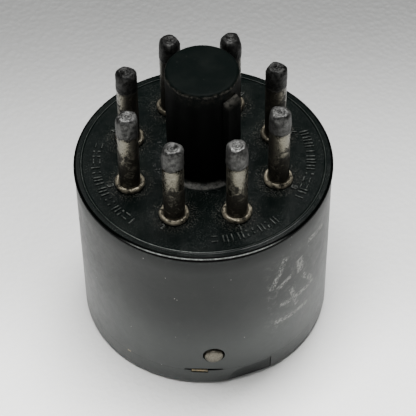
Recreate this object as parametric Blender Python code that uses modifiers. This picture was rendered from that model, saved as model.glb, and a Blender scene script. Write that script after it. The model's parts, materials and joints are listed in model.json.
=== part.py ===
"""Octal plug-in relay with a round moulded cover, standing on its closed end with its pins up.

Metres, +Z up. The origin is the centre of the end cap's resting face. +Z runs along the
guide post, from the end cap to the pins, and the guide post's key points along -Y.
"""
import math

import bpy
import bmesh
from mathutils import Matrix, Vector

# ---------------------------------------------------------------- driving dimensions

FIT_GAP = 0.0001            # between pieces that touch on a bench: the whole part is 28.6 mm across
RUN_GAP = 0.00006           # radial running clearance at the hinge

FACE_Z = 0.0223             # base face that meets the socket
POST_LENGTH = 0.0136
POST_RADIUS = 0.00394
KEY_REACH = 0.00469         # from the axis to the outside of the key
KEY_WIDTH = 0.00206
KEY_DROP = 0.0015           # top of the key below the top of the post

FLANGE_RADIUS = 0.0143
FLANGE_HEIGHT = 0.0008
BASE_THICKNESS = 0.0025
SPIGOT_HEIGHT = 0.0022

PIN_COUNT = 8
PIN_CIRCLE = 0.01745        # octal standard pin circle diameter
PIN_RADIUS = 0.00118
PIN_LENGTH = 0.0105
PIN_TAIL = 0.0040           # below the base face
PIN_BORE = 0.00075
COLLAR_RADIUS = 0.0016
COLLAR_HEIGHT = 0.00075

COVER_RADIUS = 0.0142
COVER_WALL = 0.0010
COVER_BOTTOM = 0.0026
CAP_RIM = 0.00245           # height of the end cap's band
PLATE_LOW = 0.0020
PLATE_HIGH = 0.0025
PLATE_RADIUS = COVER_RADIUS - COVER_WALL - FIT_GAP

TAB_HALF = 0.0009           # half the width of the plate's locating tab
SCREW_HOLE = 0.0008
SCREW_HEAD = 0.0012
SCREW_SHANK = 0.0007
RIVET_HOLE = 0.00055

CATCH_AZIMUTHS = {"front": math.radians(-132.8), "rear": math.radians(47.2)}
CATCH_Z = 0.0051
NOTCH_OFFSET = math.radians(16.9)
SLIT_OFFSET = math.radians(4.7)
TAB_OFFSET = math.radians(6.6)
NOTCH_DEPTH = 0.0007
SLIT_HALF = 0.0022
SLIT_HEIGHT = 0.0002
CATCH_HOLE = 0.00120
CATCH_HEAD = 0.00110
CATCH_REACH = 0.01460       # from the axis to the top of the dome
LEAF_INNER = 0.0122
LEAF_THICKNESS = 0.00025

COIL_Y = -0.0036            # centre line of the coil
BOBBIN_LOW = 0.0060
BOBBIN_HIGH = 0.0163
BOBBIN_RADIUS = 0.0052
CORE_RADIUS = 0.0020
POLE_RADIUS = 0.0032
POLE_FACE = 0.0051

YOKE_WIDTH = 0.0090
YOKE_INNER = 0.0022         # face towards the coil
YOKE_OUTER = 0.0034
YOKE_LOW = 0.0058
YOKE_LEG_LOW = 0.0164
YOKE_TOP = 0.0175
EAR_INNER = 0.0043
EAR_OUTER = 0.0054

HINGE_Y = 0.0028
HINGE_Z = 0.0044
HINGE_RADIUS = 0.0005
KNUCKLE_RADIUS = 0.00115

BLADE_X = 0.0042            # centre of each contact set
BLADE_WIDTH = 0.0026
BLADE_INNER = 0.0065
BLADE_OUTER = 0.0067
CONTACT_Z = 0.0124
CONTACT_RADIUS = 0.0008
CONTACT_HEAD = 0.00045
CONTACT_SHANK = 0.0004
STRIP_THICKNESS = 0.0003
NC_STRIP = 0.0050           # inner faces of the fixed contact strips
NO_STRIP = 0.0083
CARRIER_RIVET_Z = 0.0061
BLOCK_LOW = 0.0143
BLOCK_HIGH = 0.0165
BLOCK_SCREW_X = 0.0015
BLOCK_SCREW_Z = 0.0154

FOOT_SCREW_X = 0.0074
FOOT_SCREW_Y = 0.0027
FOOT_TOP = 0.0035

WIRE_RADIUS = 0.0003
SPRING_RADIUS = 0.0008
SPRING_WIRE = 0.00015
SPRING_TURNS = 7
SPRING_Y = 0.0051

SIDES = {"left": -1.0, "right": 1.0}

# ---------------------------------------------------------------- colours: colour, roughness, metallic

BLACK_PHENOLIC = ((0.012, 0.014, 0.014), 0.30, 0.0)
BLACK_COVER = ((0.016, 0.017, 0.017), 0.38, 0.0)
TINNED_BRASS = ((0.52, 0.50, 0.42), 0.35, 1.0)
BRASS = ((0.72, 0.55, 0.27), 0.35, 1.0)
NICKEL = ((0.58, 0.55, 0.48), 0.30, 1.0)
SOFT_IRON = ((0.50, 0.50, 0.50), 0.40, 1.0)
STEEL = ((0.55, 0.55, 0.56), 0.30, 1.0)
SILVER = ((0.80, 0.79, 0.76), 0.30, 1.0)
BRONZE = ((0.70, 0.46, 0.28), 0.35, 1.0)
BROWN_PHENOLIC = ((0.16, 0.07, 0.03), 0.55, 0.0)
IVORY_NYLON = ((0.70, 0.66, 0.55), 0.50, 0.0)
COPPER_ENAMEL = ((0.55, 0.20, 0.08), 0.35, 0.6)
COIL_TAPE = ((0.55, 0.42, 0.16), 0.55, 0.0)
WIRE_COLOURS = [
    ((0.60, 0.05, 0.04), 0.55, 0.0),
    ((0.05, 0.10, 0.45), 0.55, 0.0),
    ((0.65, 0.55, 0.08), 0.55, 0.0),
    ((0.75, 0.73, 0.68), 0.55, 0.0),
    ((0.75, 0.73, 0.68), 0.55, 0.0),
    ((0.65, 0.55, 0.08), 0.55, 0.0),
    ((0.05, 0.10, 0.45), 0.55, 0.0),
    ((0.60, 0.05, 0.04), 0.55, 0.0),
]

# ---------------------------------------------------------------- collections and helpers


def clear_scene():
    """Remove what the file opened with."""
    for item in list(bpy.data.objects):
        bpy.data.objects.remove(item, do_unlink=True)


def new_collection(name):
    """Add a collection to the scene."""
    collection = bpy.data.collections.new(name)
    bpy.context.scene.collection.children.link(collection)
    return collection


clear_scene()
RELAY = new_collection("plug_in_relay")
CUTTERS = new_collection("cutters")


def coloured(name, look):
    """Give a sub-part its own Principled material."""
    colour, roughness, metallic = look
    material = bpy.data.materials.new(name)
    material.use_nodes = True
    shader = material.node_tree.nodes["Principled BSDF"]
    shader.inputs["Base Color"].default_value = (*colour, 1.0)
    shader.inputs["Roughness"].default_value = roughness
    shader.inputs["Metallic"].default_value = metallic
    return material


def add_object(name, data, look):
    """Link mesh or curve data to the relay, or to the cutters when it has no look."""
    item = bpy.data.objects.new(name, data)
    if look is None:
        CUTTERS.objects.link(item)
        item.hide_render = True
        item.display_type = "WIRE"
    else:
        RELAY.objects.link(item)
        data.materials.append(coloured(name, look))
    return item


def box(name, low, high, look=None, bevel=0.0):
    """A block between two corners, with its origin at its centre."""
    low, high = Vector(low), Vector(high)
    mesh = bpy.data.meshes.new(name)
    form = bmesh.new()
    bmesh.ops.create_cube(form, size=1.0)
    bmesh.ops.scale(form, vec=high - low, verts=form.verts)
    form.to_mesh(mesh)
    form.free()
    item = add_object(name, mesh, look)
    item.location = (low + high) / 2.0
    if bevel:
        soften(item, bevel)
    return item


def soften(item, width):
    """Break the edges of a block or plate."""
    modifier = item.modifiers.new("edge", "BEVEL")
    modifier.width = width
    modifier.segments = 1
    modifier.limit_method = "ANGLE"


def rod(name, radius, start, end, look=None, sides=16):
    """A cylinder between two points."""
    start, end = Vector(start), Vector(end)
    mesh = bpy.data.meshes.new(name)
    form = bmesh.new()
    bmesh.ops.create_cone(
        form, cap_ends=True, segments=sides, radius1=radius, radius2=radius, depth=(end - start).length
    )
    form.to_mesh(mesh)
    form.free()
    item = add_object(name, mesh, look)
    item.location = (start + end) / 2.0
    item.rotation_euler = (end - start).to_track_quat("Z", "Y").to_euler()
    return item


def turned(name, profile, look=None, closed=False, sides=24, place=(0.0, 0.0, 0.0), axis=(0.0, 0.0, 1.0)):
    """A turned piece: (radius, height) points down the outer side, spun about the piece's axis."""
    mesh = bpy.data.meshes.new(name)
    count = len(profile)
    edges = [(index, index + 1) for index in range(count - 1)]
    if closed:
        edges.append((count - 1, 0))
    mesh.from_pydata([(radius, 0.0, height) for radius, height in profile], edges, [])
    item = add_object(name, mesh, look)
    screw = item.modifiers.new("turn", "SCREW")
    screw.steps = sides
    screw.render_steps = sides
    screw.use_merge_vertices = True
    screw.merge_threshold = 0.000001
    item.location = place
    item.rotation_euler = Vector(axis).to_track_quat("Z", "Y").to_euler()
    return item


def mesh_from_curve(curve_object, look):
    """Swap a curve object for the welded mesh of its shape."""
    depsgraph = bpy.context.evaluated_depsgraph_get()
    mesh = bpy.data.meshes.new_from_object(curve_object.evaluated_get(depsgraph))
    form = bmesh.new()
    form.from_mesh(mesh)
    bmesh.ops.remove_doubles(form, verts=form.verts, dist=0.000001)
    bmesh.ops.recalc_face_normals(form, faces=form.faces)
    form.to_mesh(mesh)
    form.free()
    name = curve_object.name
    placed = curve_object.matrix_world.copy()
    bpy.data.objects.remove(curve_object, do_unlink=True)
    item = add_object(name, mesh, look)
    item.name = name
    item.matrix_world = placed
    return item


def plate(name, outline, centre, turn, half_thickness, look=None):
    """A flat outline given both ways from its centre plane; turn takes its XY to the part's frame."""
    curve = bpy.data.curves.new(name, "CURVE")
    curve.dimensions = "2D"
    curve.fill_mode = "BOTH"
    curve.extrude = half_thickness
    spline = curve.splines.new("POLY")
    spline.points.add(len(outline) - 1)
    for point, (across, along) in zip(spline.points, outline):
        point.co = (across, along, 0.0, 1.0)
    spline.use_cyclic_u = True
    curve_object = bpy.data.objects.new(name, curve)
    bpy.context.scene.collection.objects.link(curve_object)
    curve_object.matrix_world = Matrix.Translation(centre) @ turn.to_4x4()
    bpy.context.view_layer.update()
    return mesh_from_curve(curve_object, look)


ALONG_X = Matrix(((0, 0, 1), (1, 0, 0), (0, 1, 0)))     # outline (y, z), thickness along X
ALONG_Y = Matrix(((1, 0, 0), (0, 0, -1), (0, 1, 0)))    # outline (x, z), thickness along Y


def smooth_route(stations, spans):
    """Points on a smooth curve through the stations (Catmull-Rom)."""
    ends = [stations[0]] + list(stations) + [stations[-1]]
    points = []
    for index in range(len(stations) - 1):
        before, start, finish, after = (Vector(ends[index + step]) for step in range(4))
        for step in range(spans):
            t = step / spans
            points.append(
                0.5 * (2 * start + (finish - before) * t
                       + (2 * before - 5 * start + 4 * finish - after) * t ** 2
                       + (3 * start - before - 3 * finish + after) * t ** 3)
            )
    points.append(Vector(stations[-1]))
    return points


def wire(name, points, radius, look):
    """A round wire along a list of points."""
    curve = bpy.data.curves.new(name, "CURVE")
    curve.dimensions = "3D"
    curve.bevel_depth = radius
    curve.bevel_resolution = 2
    curve.use_fill_caps = True
    spline = curve.splines.new("POLY")
    spline.points.add(len(points) - 1)
    for point, place in zip(spline.points, points):
        point.co = (*place, 1.0)
    return add_object(name, curve, look)


def combine(item, tool, operation):
    """Boolean with a construction shape."""
    modifier = item.modifiers.new(tool.name, "BOOLEAN")
    modifier.operation = operation
    modifier.object = tool
    modifier.solver = "EXACT"


def cut(item, *tools):
    """Take construction shapes away."""
    for tool in tools:
        combine(item, tool, "DIFFERENCE")


def fuse(item, *tools):
    """Join construction shapes on."""
    for tool in tools:
        combine(item, tool, "UNION")


def outward(azimuth, radius, height=0.0):
    """A point at an azimuth and a distance from the relay's axis."""
    return Vector((radius * math.cos(azimuth), radius * math.sin(azimuth), height))


def face_outward(azimuth):
    """Turn that takes a plate outline (around, up) to a plane facing out at an azimuth."""
    around = Vector((-math.sin(azimuth), math.cos(azimuth), 0.0))
    return Matrix((around, Vector((0, 0, 1)), outward(azimuth, 1.0))).transposed()


def pin_azimuth(number):
    """Pins count clockwise from the key, seen from the pin side."""
    return math.radians(-90.0 - 180.0 / PIN_COUNT - (number - 1) * 360.0 / PIN_COUNT)


def moving_group(name, place, members):
    """Parent the pieces of a moving body to an empty on its joint."""
    empty = bpy.data.objects.new(name, None)
    empty.location = place
    empty.empty_display_size = 0.002
    RELAY.objects.link(empty)
    bpy.context.view_layer.update()
    for member in members:
        member.parent = empty
        member.matrix_parent_inverse = empty.matrix_world.inverted()


# ---------------------------------------------------------------- base, guide post and pins


def make_header_base():
    """Moulded base: flange, spigot and guide post with its key, in one piece."""
    top = FACE_Z + POST_LENGTH
    spigot = COVER_RADIUS - COVER_WALL - FIT_GAP
    under = FACE_Z - FLANGE_HEIGHT
    foot = FACE_Z - FLANGE_HEIGHT - SPIGOT_HEIGHT
    profile = [
        (0.0, top),
        (POST_RADIUS - 0.00045, top),
        (POST_RADIUS, top - 0.00045),
        (POST_RADIUS, FACE_Z + 0.0005),
        (POST_RADIUS + 0.0005, FACE_Z),
        (FLANGE_RADIUS - 0.0004, FACE_Z),
        (FLANGE_RADIUS - 0.0001, FACE_Z - 0.0001),
        (FLANGE_RADIUS, FACE_Z - 0.0003),
        (FLANGE_RADIUS, under),
        (spigot, under),
        (spigot, foot + 0.0003),
        (spigot - 0.0003, foot),
        (spigot - 0.0013, foot),
        (spigot - 0.0013, FACE_Z - BASE_THICKNESS),
        (0.0, FACE_Z - BASE_THICKNESS),
    ]
    base = turned("header_base", profile, BLACK_PHENOLIC, sides=48)
    inner = -POST_RADIUS + 0.001
    key_top = top - KEY_DROP
    key_outline = [
        (inner, FACE_Z - 0.0008),
        (-KEY_REACH, FACE_Z - 0.0008),
        (-KEY_REACH, key_top - 0.0005),
        (-KEY_REACH + 0.0004, key_top),
        (inner, key_top),
    ]
    fuse(base, plate("key_form", key_outline, (0, 0, 0), ALONG_X, KEY_WIDTH / 2))
    for number in range(1, PIN_COUNT + 1):
        centre = outward(pin_azimuth(number), PIN_CIRCLE / 2)
        low = centre + Vector((0, 0, FACE_Z - 0.006))
        high = centre + Vector((0, 0, FACE_Z + 0.001))
        cut(base, rod("pin_bore_form_%d" % number, PIN_RADIUS + FIT_GAP, low, high))


def make_pins():
    """Hollow staked pins with a collar on the base face and a rounded, soldered tip."""
    profile = [
        (0.0, PIN_LENGTH),
        (0.0005, PIN_LENGTH - 0.0001),
        (0.00092, PIN_LENGTH - 0.0004),
        (PIN_RADIUS, PIN_LENGTH - 0.0012),
        (PIN_RADIUS, COLLAR_HEIGHT),
        (COLLAR_RADIUS - 0.00015, COLLAR_HEIGHT - 0.00015),
        (COLLAR_RADIUS, 0.0003),
        (COLLAR_RADIUS - 0.0001, FIT_GAP),
        (PIN_RADIUS, FIT_GAP),
        (PIN_RADIUS, -PIN_TAIL),
        (PIN_BORE, -PIN_TAIL),
        (PIN_BORE, PIN_LENGTH - 0.003),
        (0.0, PIN_LENGTH - 0.0026),
    ]
    for number in range(1, PIN_COUNT + 1):
        place = outward(pin_azimuth(number), PIN_CIRCLE / 2, FACE_Z)
        turned("contact_pin_%d" % number, profile, TINNED_BRASS, sides=12, place=place)


# ---------------------------------------------------------------- cover, end cap, plate and catches


def make_cover():
    """Round sleeve between the flange and the end cap, with two catch holes and a parted slit."""
    inner = COVER_RADIUS - COVER_WALL
    top = FACE_Z - FLANGE_HEIGHT - FIT_GAP
    profile = [
        (COVER_RADIUS - 0.0001, top),
        (COVER_RADIUS, top - 0.0001),
        (COVER_RADIUS, COVER_BOTTOM + 0.0001),
        (COVER_RADIUS - 0.0001, COVER_BOTTOM),
        (inner, COVER_BOTTOM),
        (inner, top),
    ]
    cover = turned("cover_shell", profile, BLACK_COVER, closed=True, sides=48)
    for side, azimuth in CATCH_AZIMUTHS.items():
        start = outward(azimuth, inner - 0.001, CATCH_Z)
        end = outward(azimuth, COVER_RADIUS + 0.001, CATCH_Z)
        cut(cover, rod("catch_hole_form_" + side, CATCH_HOLE, start, end, sides=24))
    slit_azimuth = CATCH_AZIMUTHS["front"] - SLIT_OFFSET
    slit_outline = [(-SLIT_HALF, -0.0005), (SLIT_HALF, -0.0005), (SLIT_HALF, SLIT_HEIGHT),
                    (-SLIT_HALF, SLIT_HEIGHT)]
    middle = outward(slit_azimuth, COVER_RADIUS - COVER_WALL / 2, COVER_BOTTOM)
    cut(cover, plate("slit_form", slit_outline, middle, face_outward(slit_azimuth), 0.001))


def make_end_cap():
    """Closed end: a shallow cup whose band continues the cover, with a pry notch in the band."""
    inner = COVER_RADIUS - COVER_WALL
    profile = [
        (0.0, 0.0012),
        (0.0122, 0.0012),
        (0.0122, PLATE_LOW - FIT_GAP),
        (inner, PLATE_LOW - FIT_GAP),
        (inner, CAP_RIM),
        (COVER_RADIUS - 0.0001, CAP_RIM),
        (COVER_RADIUS, CAP_RIM - 0.0001),
        (COVER_RADIUS, 0.0003),
        (COVER_RADIUS - 0.0003, 0.0),
        (0.0118, 0.0),
        (0.0115, 0.0003),
        (0.0, 0.0003),
    ]
    cap = turned("end_cap", profile, BLACK_COVER, sides=48)
    notch_azimuth = CATCH_AZIMUTHS["front"] + NOTCH_OFFSET
    notch_outline = [
        (-0.0026, -0.0005),
        (0.0026, -0.0005),
        (0.0026, 0.0022),
        (-0.0014, 0.0022),
        (-0.0026, 0.0010),
    ]
    middle = outward(notch_azimuth, COVER_RADIUS - NOTCH_DEPTH + 0.001)
    cut(cap, plate("notch_form", notch_outline, middle, face_outward(notch_azimuth), 0.001))
    tab_azimuth = locating_tab_azimuth()
    half = TAB_HALF + FIT_GAP
    low = PLATE_LOW - FIT_GAP
    slot_outline = [(-half, low), (half, low), (half, 0.003), (-half, 0.003)]
    middle = outward(tab_azimuth, COVER_RADIUS - COVER_WALL / 2)
    cut(cap, plate("tab_slot_form", slot_outline, middle, face_outward(tab_azimuth), 0.001))


def locating_tab_azimuth():
    """The chassis plate's locating tab shows below the slit, beside the front catch."""
    return CATCH_AZIMUTHS["front"] - TAB_OFFSET


def make_chassis_plate():
    """Brass disc between the cover and the end cap that carries the whole mechanism."""
    chassis = rod("chassis_plate", PLATE_RADIUS, (0, 0, PLATE_LOW), (0, 0, PLATE_HIGH), BRASS, sides=48)
    tab_azimuth = locating_tab_azimuth()
    low, high = PLATE_LOW + 0.00002, PLATE_HIGH - 0.00002
    outline = [(-TAB_HALF, low), (TAB_HALF, low), (TAB_HALF, high), (-TAB_HALF, high)]
    reach = COVER_RADIUS - 0.0001
    half = 0.001
    middle = outward(tab_azimuth, reach - half)
    fuse(chassis, plate("tab_form", outline, middle, face_outward(tab_azimuth), half))
    for side, sign in SIDES.items():
        start = (sign * FOOT_SCREW_X, FOOT_SCREW_Y, PLATE_LOW - 0.001)
        end = (sign * FOOT_SCREW_X, FOOT_SCREW_Y, PLATE_HIGH + 0.001)
        cut(chassis, rod("plate_hole_form_" + side, SCREW_HOLE, start, end))
    cut(chassis, rod("plate_vent_form", 0.0018, (0, -0.0105, 0), (0, -0.0105, 0.004), sides=24))


def make_catch(side, azimuth):
    """Domed button on a brass leaf, which snaps into a hole in the cover and holds it on."""
    leaf_outer = LEAF_INNER + LEAF_THICKNESS
    head_low = leaf_outer + FIT_GAP
    tail_high = LEAF_INNER - FIT_GAP
    profile = [
        (0.0, CATCH_REACH),
        (0.0006, CATCH_REACH - 0.00006),
        (0.00098, CATCH_REACH - 0.0003),
        (CATCH_HEAD, CATCH_REACH - 0.00065),
        (CATCH_HEAD, head_low),
        (0.0005, head_low),
        (0.0005, tail_high),
        (0.0007, tail_high),
        (0.0007, tail_high - 0.0004),
        (0.0, tail_high - 0.0004),
    ]
    place = Vector((0.0, 0.0, CATCH_Z))
    button = turned("catch_button_" + side, profile, NICKEL, sides=20, place=place,
                    axis=outward(azimuth, 1.0))
    leaf_bottom = PLATE_HIGH + FIT_GAP
    half = 0.0016
    upright = [(-half, leaf_bottom), (half, leaf_bottom), (half, 0.0068), (0.001, 0.0072), (-0.001, 0.0072),
               (-half, 0.0068)]
    middle = outward(azimuth, LEAF_INNER + LEAF_THICKNESS / 2)
    leaf = plate("catch_leaf_" + side, upright, middle, face_outward(azimuth), LEAF_THICKNESS / 2, BRASS)
    low = leaf_bottom + 0.00002
    foot_width = half - 0.00005
    foot = [(-foot_width, low), (foot_width, low), (foot_width, low + LEAF_THICKNESS),
            (-foot_width, low + LEAF_THICKNESS)]
    foot_middle = outward(azimuth, LEAF_INNER - 0.0012)
    fuse(leaf, plate("leaf_foot_form_" + side, foot, foot_middle, face_outward(azimuth), 0.0013))
    start = outward(azimuth, LEAF_INNER - 0.001, CATCH_Z)
    end = outward(azimuth, leaf_outer + 0.001, CATCH_Z)
    cut(leaf, rod("leaf_hole_form_" + side, 0.0006, start, end))
    moving_group("catch_%s_press" % side, outward(azimuth, LEAF_INNER, CATCH_Z), [button])


# ---------------------------------------------------------------- magnet frame and coil


def make_yoke():
    """Bent iron frame: the back leg, the leg over the coil, two hinge ears and two feet."""
    outline = [
        (YOKE_OUTER, YOKE_LOW),
        (YOKE_OUTER, YOKE_TOP - 0.0006),
        (YOKE_OUTER - 0.0006, YOKE_TOP),
        (COIL_Y - 0.0028, YOKE_TOP),
        (COIL_Y - 0.0028, YOKE_LEG_LOW),
        (YOKE_INNER, YOKE_LEG_LOW),
        (YOKE_INNER, YOKE_LOW),
    ]
    yoke = plate("frame_yoke", outline, (0, 0, 0), ALONG_X, YOKE_WIDTH / 2, SOFT_IRON)
    ear_outline = [
        (HINGE_Y - 0.0012, 0.0028),
        (HINGE_Y + 0.0011, 0.0028),
        (HINGE_Y + 0.0011, 0.0075),
        (HINGE_Y + 0.0004, 0.0082),
        (HINGE_Y - 0.0004, 0.0082),
        (HINGE_Y - 0.0012, 0.0075),
    ]
    ear_half = (EAR_OUTER - EAR_INNER) / 2
    foot_low = PLATE_HIGH + FIT_GAP
    for side, sign in SIDES.items():
        centre = (sign * (EAR_INNER + ear_half), 0, 0)
        ear = plate("ear_form_" + side, ear_outline, centre, ALONG_X, ear_half)
        inner, outer = sorted((sign * (EAR_OUTER - 0.0002), sign * 0.0090))
        foot = box("foot_form_" + side, (inner, 0.0014, foot_low), (outer, 0.0040, FOOT_TOP))
        fuse(yoke, ear, foot)
        screw_x = sign * FOOT_SCREW_X
        foot_hole = rod("foot_hole_form_" + side, SCREW_HOLE, (screw_x, FOOT_SCREW_Y, 0.002),
                        (screw_x, FOOT_SCREW_Y, 0.005))
        screw_x = sign * BLOCK_SCREW_X
        block_hole = rod("yoke_block_hole_form_" + side, SCREW_HOLE,
                         (screw_x, YOKE_INNER - 0.001, BLOCK_SCREW_Z),
                         (screw_x, YOKE_OUTER + 0.001, BLOCK_SCREW_Z))
        cut(yoke, foot_hole, block_hole)
    lug = box("spring_lug_form", (-0.0008, YOKE_OUTER - 0.0003, 0.0126),
              (0.0008, SPRING_Y + 0.001, 0.0133))
    fuse(yoke, lug)
    lug_hole = rod("lug_hole_form", 0.0004, (0, SPRING_Y, 0.012), (0, SPRING_Y, 0.014))
    hinge_hole = rod("hinge_hole_form", HINGE_RADIUS + RUN_GAP, (-0.007, HINGE_Y, HINGE_Z),
                     (0.007, HINGE_Y, HINGE_Z))
    core_hole = rod("core_hole_form", 0.00135, (0, COIL_Y, YOKE_LEG_LOW - 0.001),
                    (0, COIL_Y, YOKE_TOP + 0.001))
    cut(yoke, lug_hole, hinge_hole, core_hole)


def make_frame_screws():
    """Pan-head screws that hold the yoke's feet to the chassis plate."""
    head_low = FOOT_TOP + FIT_GAP
    for side, sign in SIDES.items():
        profile = [
            (0.0, head_low + 0.0008),
            (0.0009, head_low + 0.0007),
            (SCREW_HEAD, head_low + 0.0004),
            (SCREW_HEAD, head_low),
            (SCREW_SHANK, head_low),
            (SCREW_SHANK, 0.0015),
            (0.0, 0.0014),
        ]
        place = (sign * FOOT_SCREW_X, FOOT_SCREW_Y, 0.0)
        screw = turned("frame_screw_" + side, profile, STEEL, sides=16, place=place)
        x = sign * FOOT_SCREW_X
        slot = box("frame_slot_form_" + side, (x - 0.0002, FOOT_SCREW_Y - 0.002, head_low + 0.0004),
                   (x + 0.0002, FOOT_SCREW_Y + 0.002, head_low + 0.002))
        cut(screw, slot)


def make_coil():
    """Core with its pole face, bobbin, winding, tape and the screw that fixes the core."""
    place = (0.0, COIL_Y, 0.0)
    core_profile = [
        (0.0, 0.0123),
        (0.0013, 0.0123),
        (0.0013, BOBBIN_HIGH),
        (CORE_RADIUS, BOBBIN_HIGH),
        (CORE_RADIUS, BOBBIN_LOW - FIT_GAP),
        (POLE_RADIUS, BOBBIN_LOW - FIT_GAP),
        (POLE_RADIUS, POLE_FACE + 0.0001),
        (POLE_RADIUS - 0.0001, POLE_FACE),
        (0.0, POLE_FACE),
    ]
    turned("coil_core", core_profile, SOFT_IRON, sides=24, place=place)
    head_low = YOKE_TOP + FIT_GAP
    screw_profile = [
        (0.0, head_low + 0.0009),
        (0.0018, head_low + 0.0009),
        (0.0020, head_low + 0.0007),
        (0.0020, head_low),
        (0.0012, head_low),
        (0.0012, 0.0129),
        (0.0010, 0.0127),
        (0.0, 0.0127),
    ]
    screw = turned("core_screw", screw_profile, STEEL, sides=24, place=place)
    slot = box("core_slot_form", (-0.0003, COIL_Y - 0.003, head_low + 0.0005),
               (0.0003, COIL_Y + 0.003, head_low + 0.002))
    cut(screw, slot)
    wall = 0.0008
    tube = CORE_RADIUS + FIT_GAP + 0.0005
    bobbin_profile = [
        (BOBBIN_RADIUS, BOBBIN_HIGH),
        (BOBBIN_RADIUS, BOBBIN_HIGH - wall),
        (tube, BOBBIN_HIGH - wall),
        (tube, BOBBIN_LOW + wall),
        (BOBBIN_RADIUS, BOBBIN_LOW + wall),
        (BOBBIN_RADIUS, BOBBIN_LOW),
        (CORE_RADIUS + FIT_GAP, BOBBIN_LOW),
        (CORE_RADIUS + FIT_GAP, BOBBIN_HIGH),
    ]
    bobbin = turned("coil_bobbin", bobbin_profile, IVORY_NYLON, closed=True, sides=32, place=place)
    for side, sign in SIDES.items():
        inner, outer = sorted((sign * 0.0045, sign * 0.0060))
        notch = box("lead_notch_form_" + side, (inner, COIL_Y - 0.0005, BOBBIN_HIGH - 0.0012),
                    (outer, COIL_Y + 0.0005, BOBBIN_HIGH + 0.0005))
        cut(bobbin, notch)
    low = BOBBIN_LOW + wall + FIT_GAP
    high = BOBBIN_HIGH - wall - FIT_GAP
    winding = [(0.0045, high), (0.0045, low), (tube + FIT_GAP, low), (tube + FIT_GAP, high)]
    turned("coil_winding", winding, COPPER_ENAMEL, closed=True, sides=32, place=place)
    tape = [(0.00475, high - 0.0004), (0.00475, low + 0.0004), (0.0046, low + 0.0004),
            (0.0046, high - 0.0004)]
    turned("coil_tape", tape, COIL_TAPE, closed=True, sides=32, place=place)


# ---------------------------------------------------------------- armature and moving contacts


def make_armature():
    """Hinged iron clapper: plate under the pole, knuckle, and an upright tab for the blades."""
    half_width = EAR_INNER - FIT_GAP
    plate_outline = [
        (COIL_Y - 0.0044, 0.0036),
        (COIL_Y - 0.0042, 0.0034),
        (0.0050, 0.0034),
        (0.0050, 0.0045),
        (COIL_Y - 0.0044, 0.0045),
    ]
    armature = plate("armature", plate_outline, (0, 0, 0), ALONG_X, half_width, SOFT_IRON)
    knuckle = rod("knuckle_form", KNUCKLE_RADIUS, (0.0001 - half_width, HINGE_Y, HINGE_Z),
                  (half_width - 0.0001, HINGE_Y, HINGE_Z), sides=20)
    tab = box("tab_form", (-0.0056, 0.0046, 0.0033), (0.0056, 0.0056, 0.0082))
    fuse(armature, knuckle, tab)
    bore = rod("knuckle_bore_form", HINGE_RADIUS + RUN_GAP, (-0.007, HINGE_Y, HINGE_Z),
               (0.007, HINGE_Y, HINGE_Z))
    spring_hole = rod("spring_hole_form", 0.0004, (0, 0.004, 0.0077), (0, 0.006, 0.0077))
    cut(armature, bore, spring_hole)
    cut(armature, *carrier_hole_forms("tab_rivet_form", 0.0040, 0.0060))
    return armature


def carrier_hole_forms(name, start_y, end_y):
    """Construction rods for the two carrier rivets."""
    forms = []
    for side, sign in SIDES.items():
        start = (sign * BLADE_X, start_y, CARRIER_RIVET_Z)
        end = (sign * BLADE_X, end_y, CARRIER_RIVET_Z)
        forms.append(rod("%s_%s" % (name, side), RIVET_HOLE, start, end))
    return forms


def make_hinge_pin():
    """Headed pin on which the armature swings."""
    length = EAR_OUTER + FIT_GAP
    profile = [
        (0.0, length + 0.00045),
        (0.0006, length + 0.00045),
        (0.00075, length + 0.0003),
        (0.00075, length),
        (HINGE_RADIUS, length),
        (HINGE_RADIUS, -length),
        (0.00075, -length),
        (0.00075, -length - 0.0003),
        (0.0006, -length - 0.00045),
        (0.0, -length - 0.00045),
    ]
    turned("hinge_pin", profile, STEEL, sides=16, place=(0, HINGE_Y, HINGE_Z), axis=(1, 0, 0))


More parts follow.
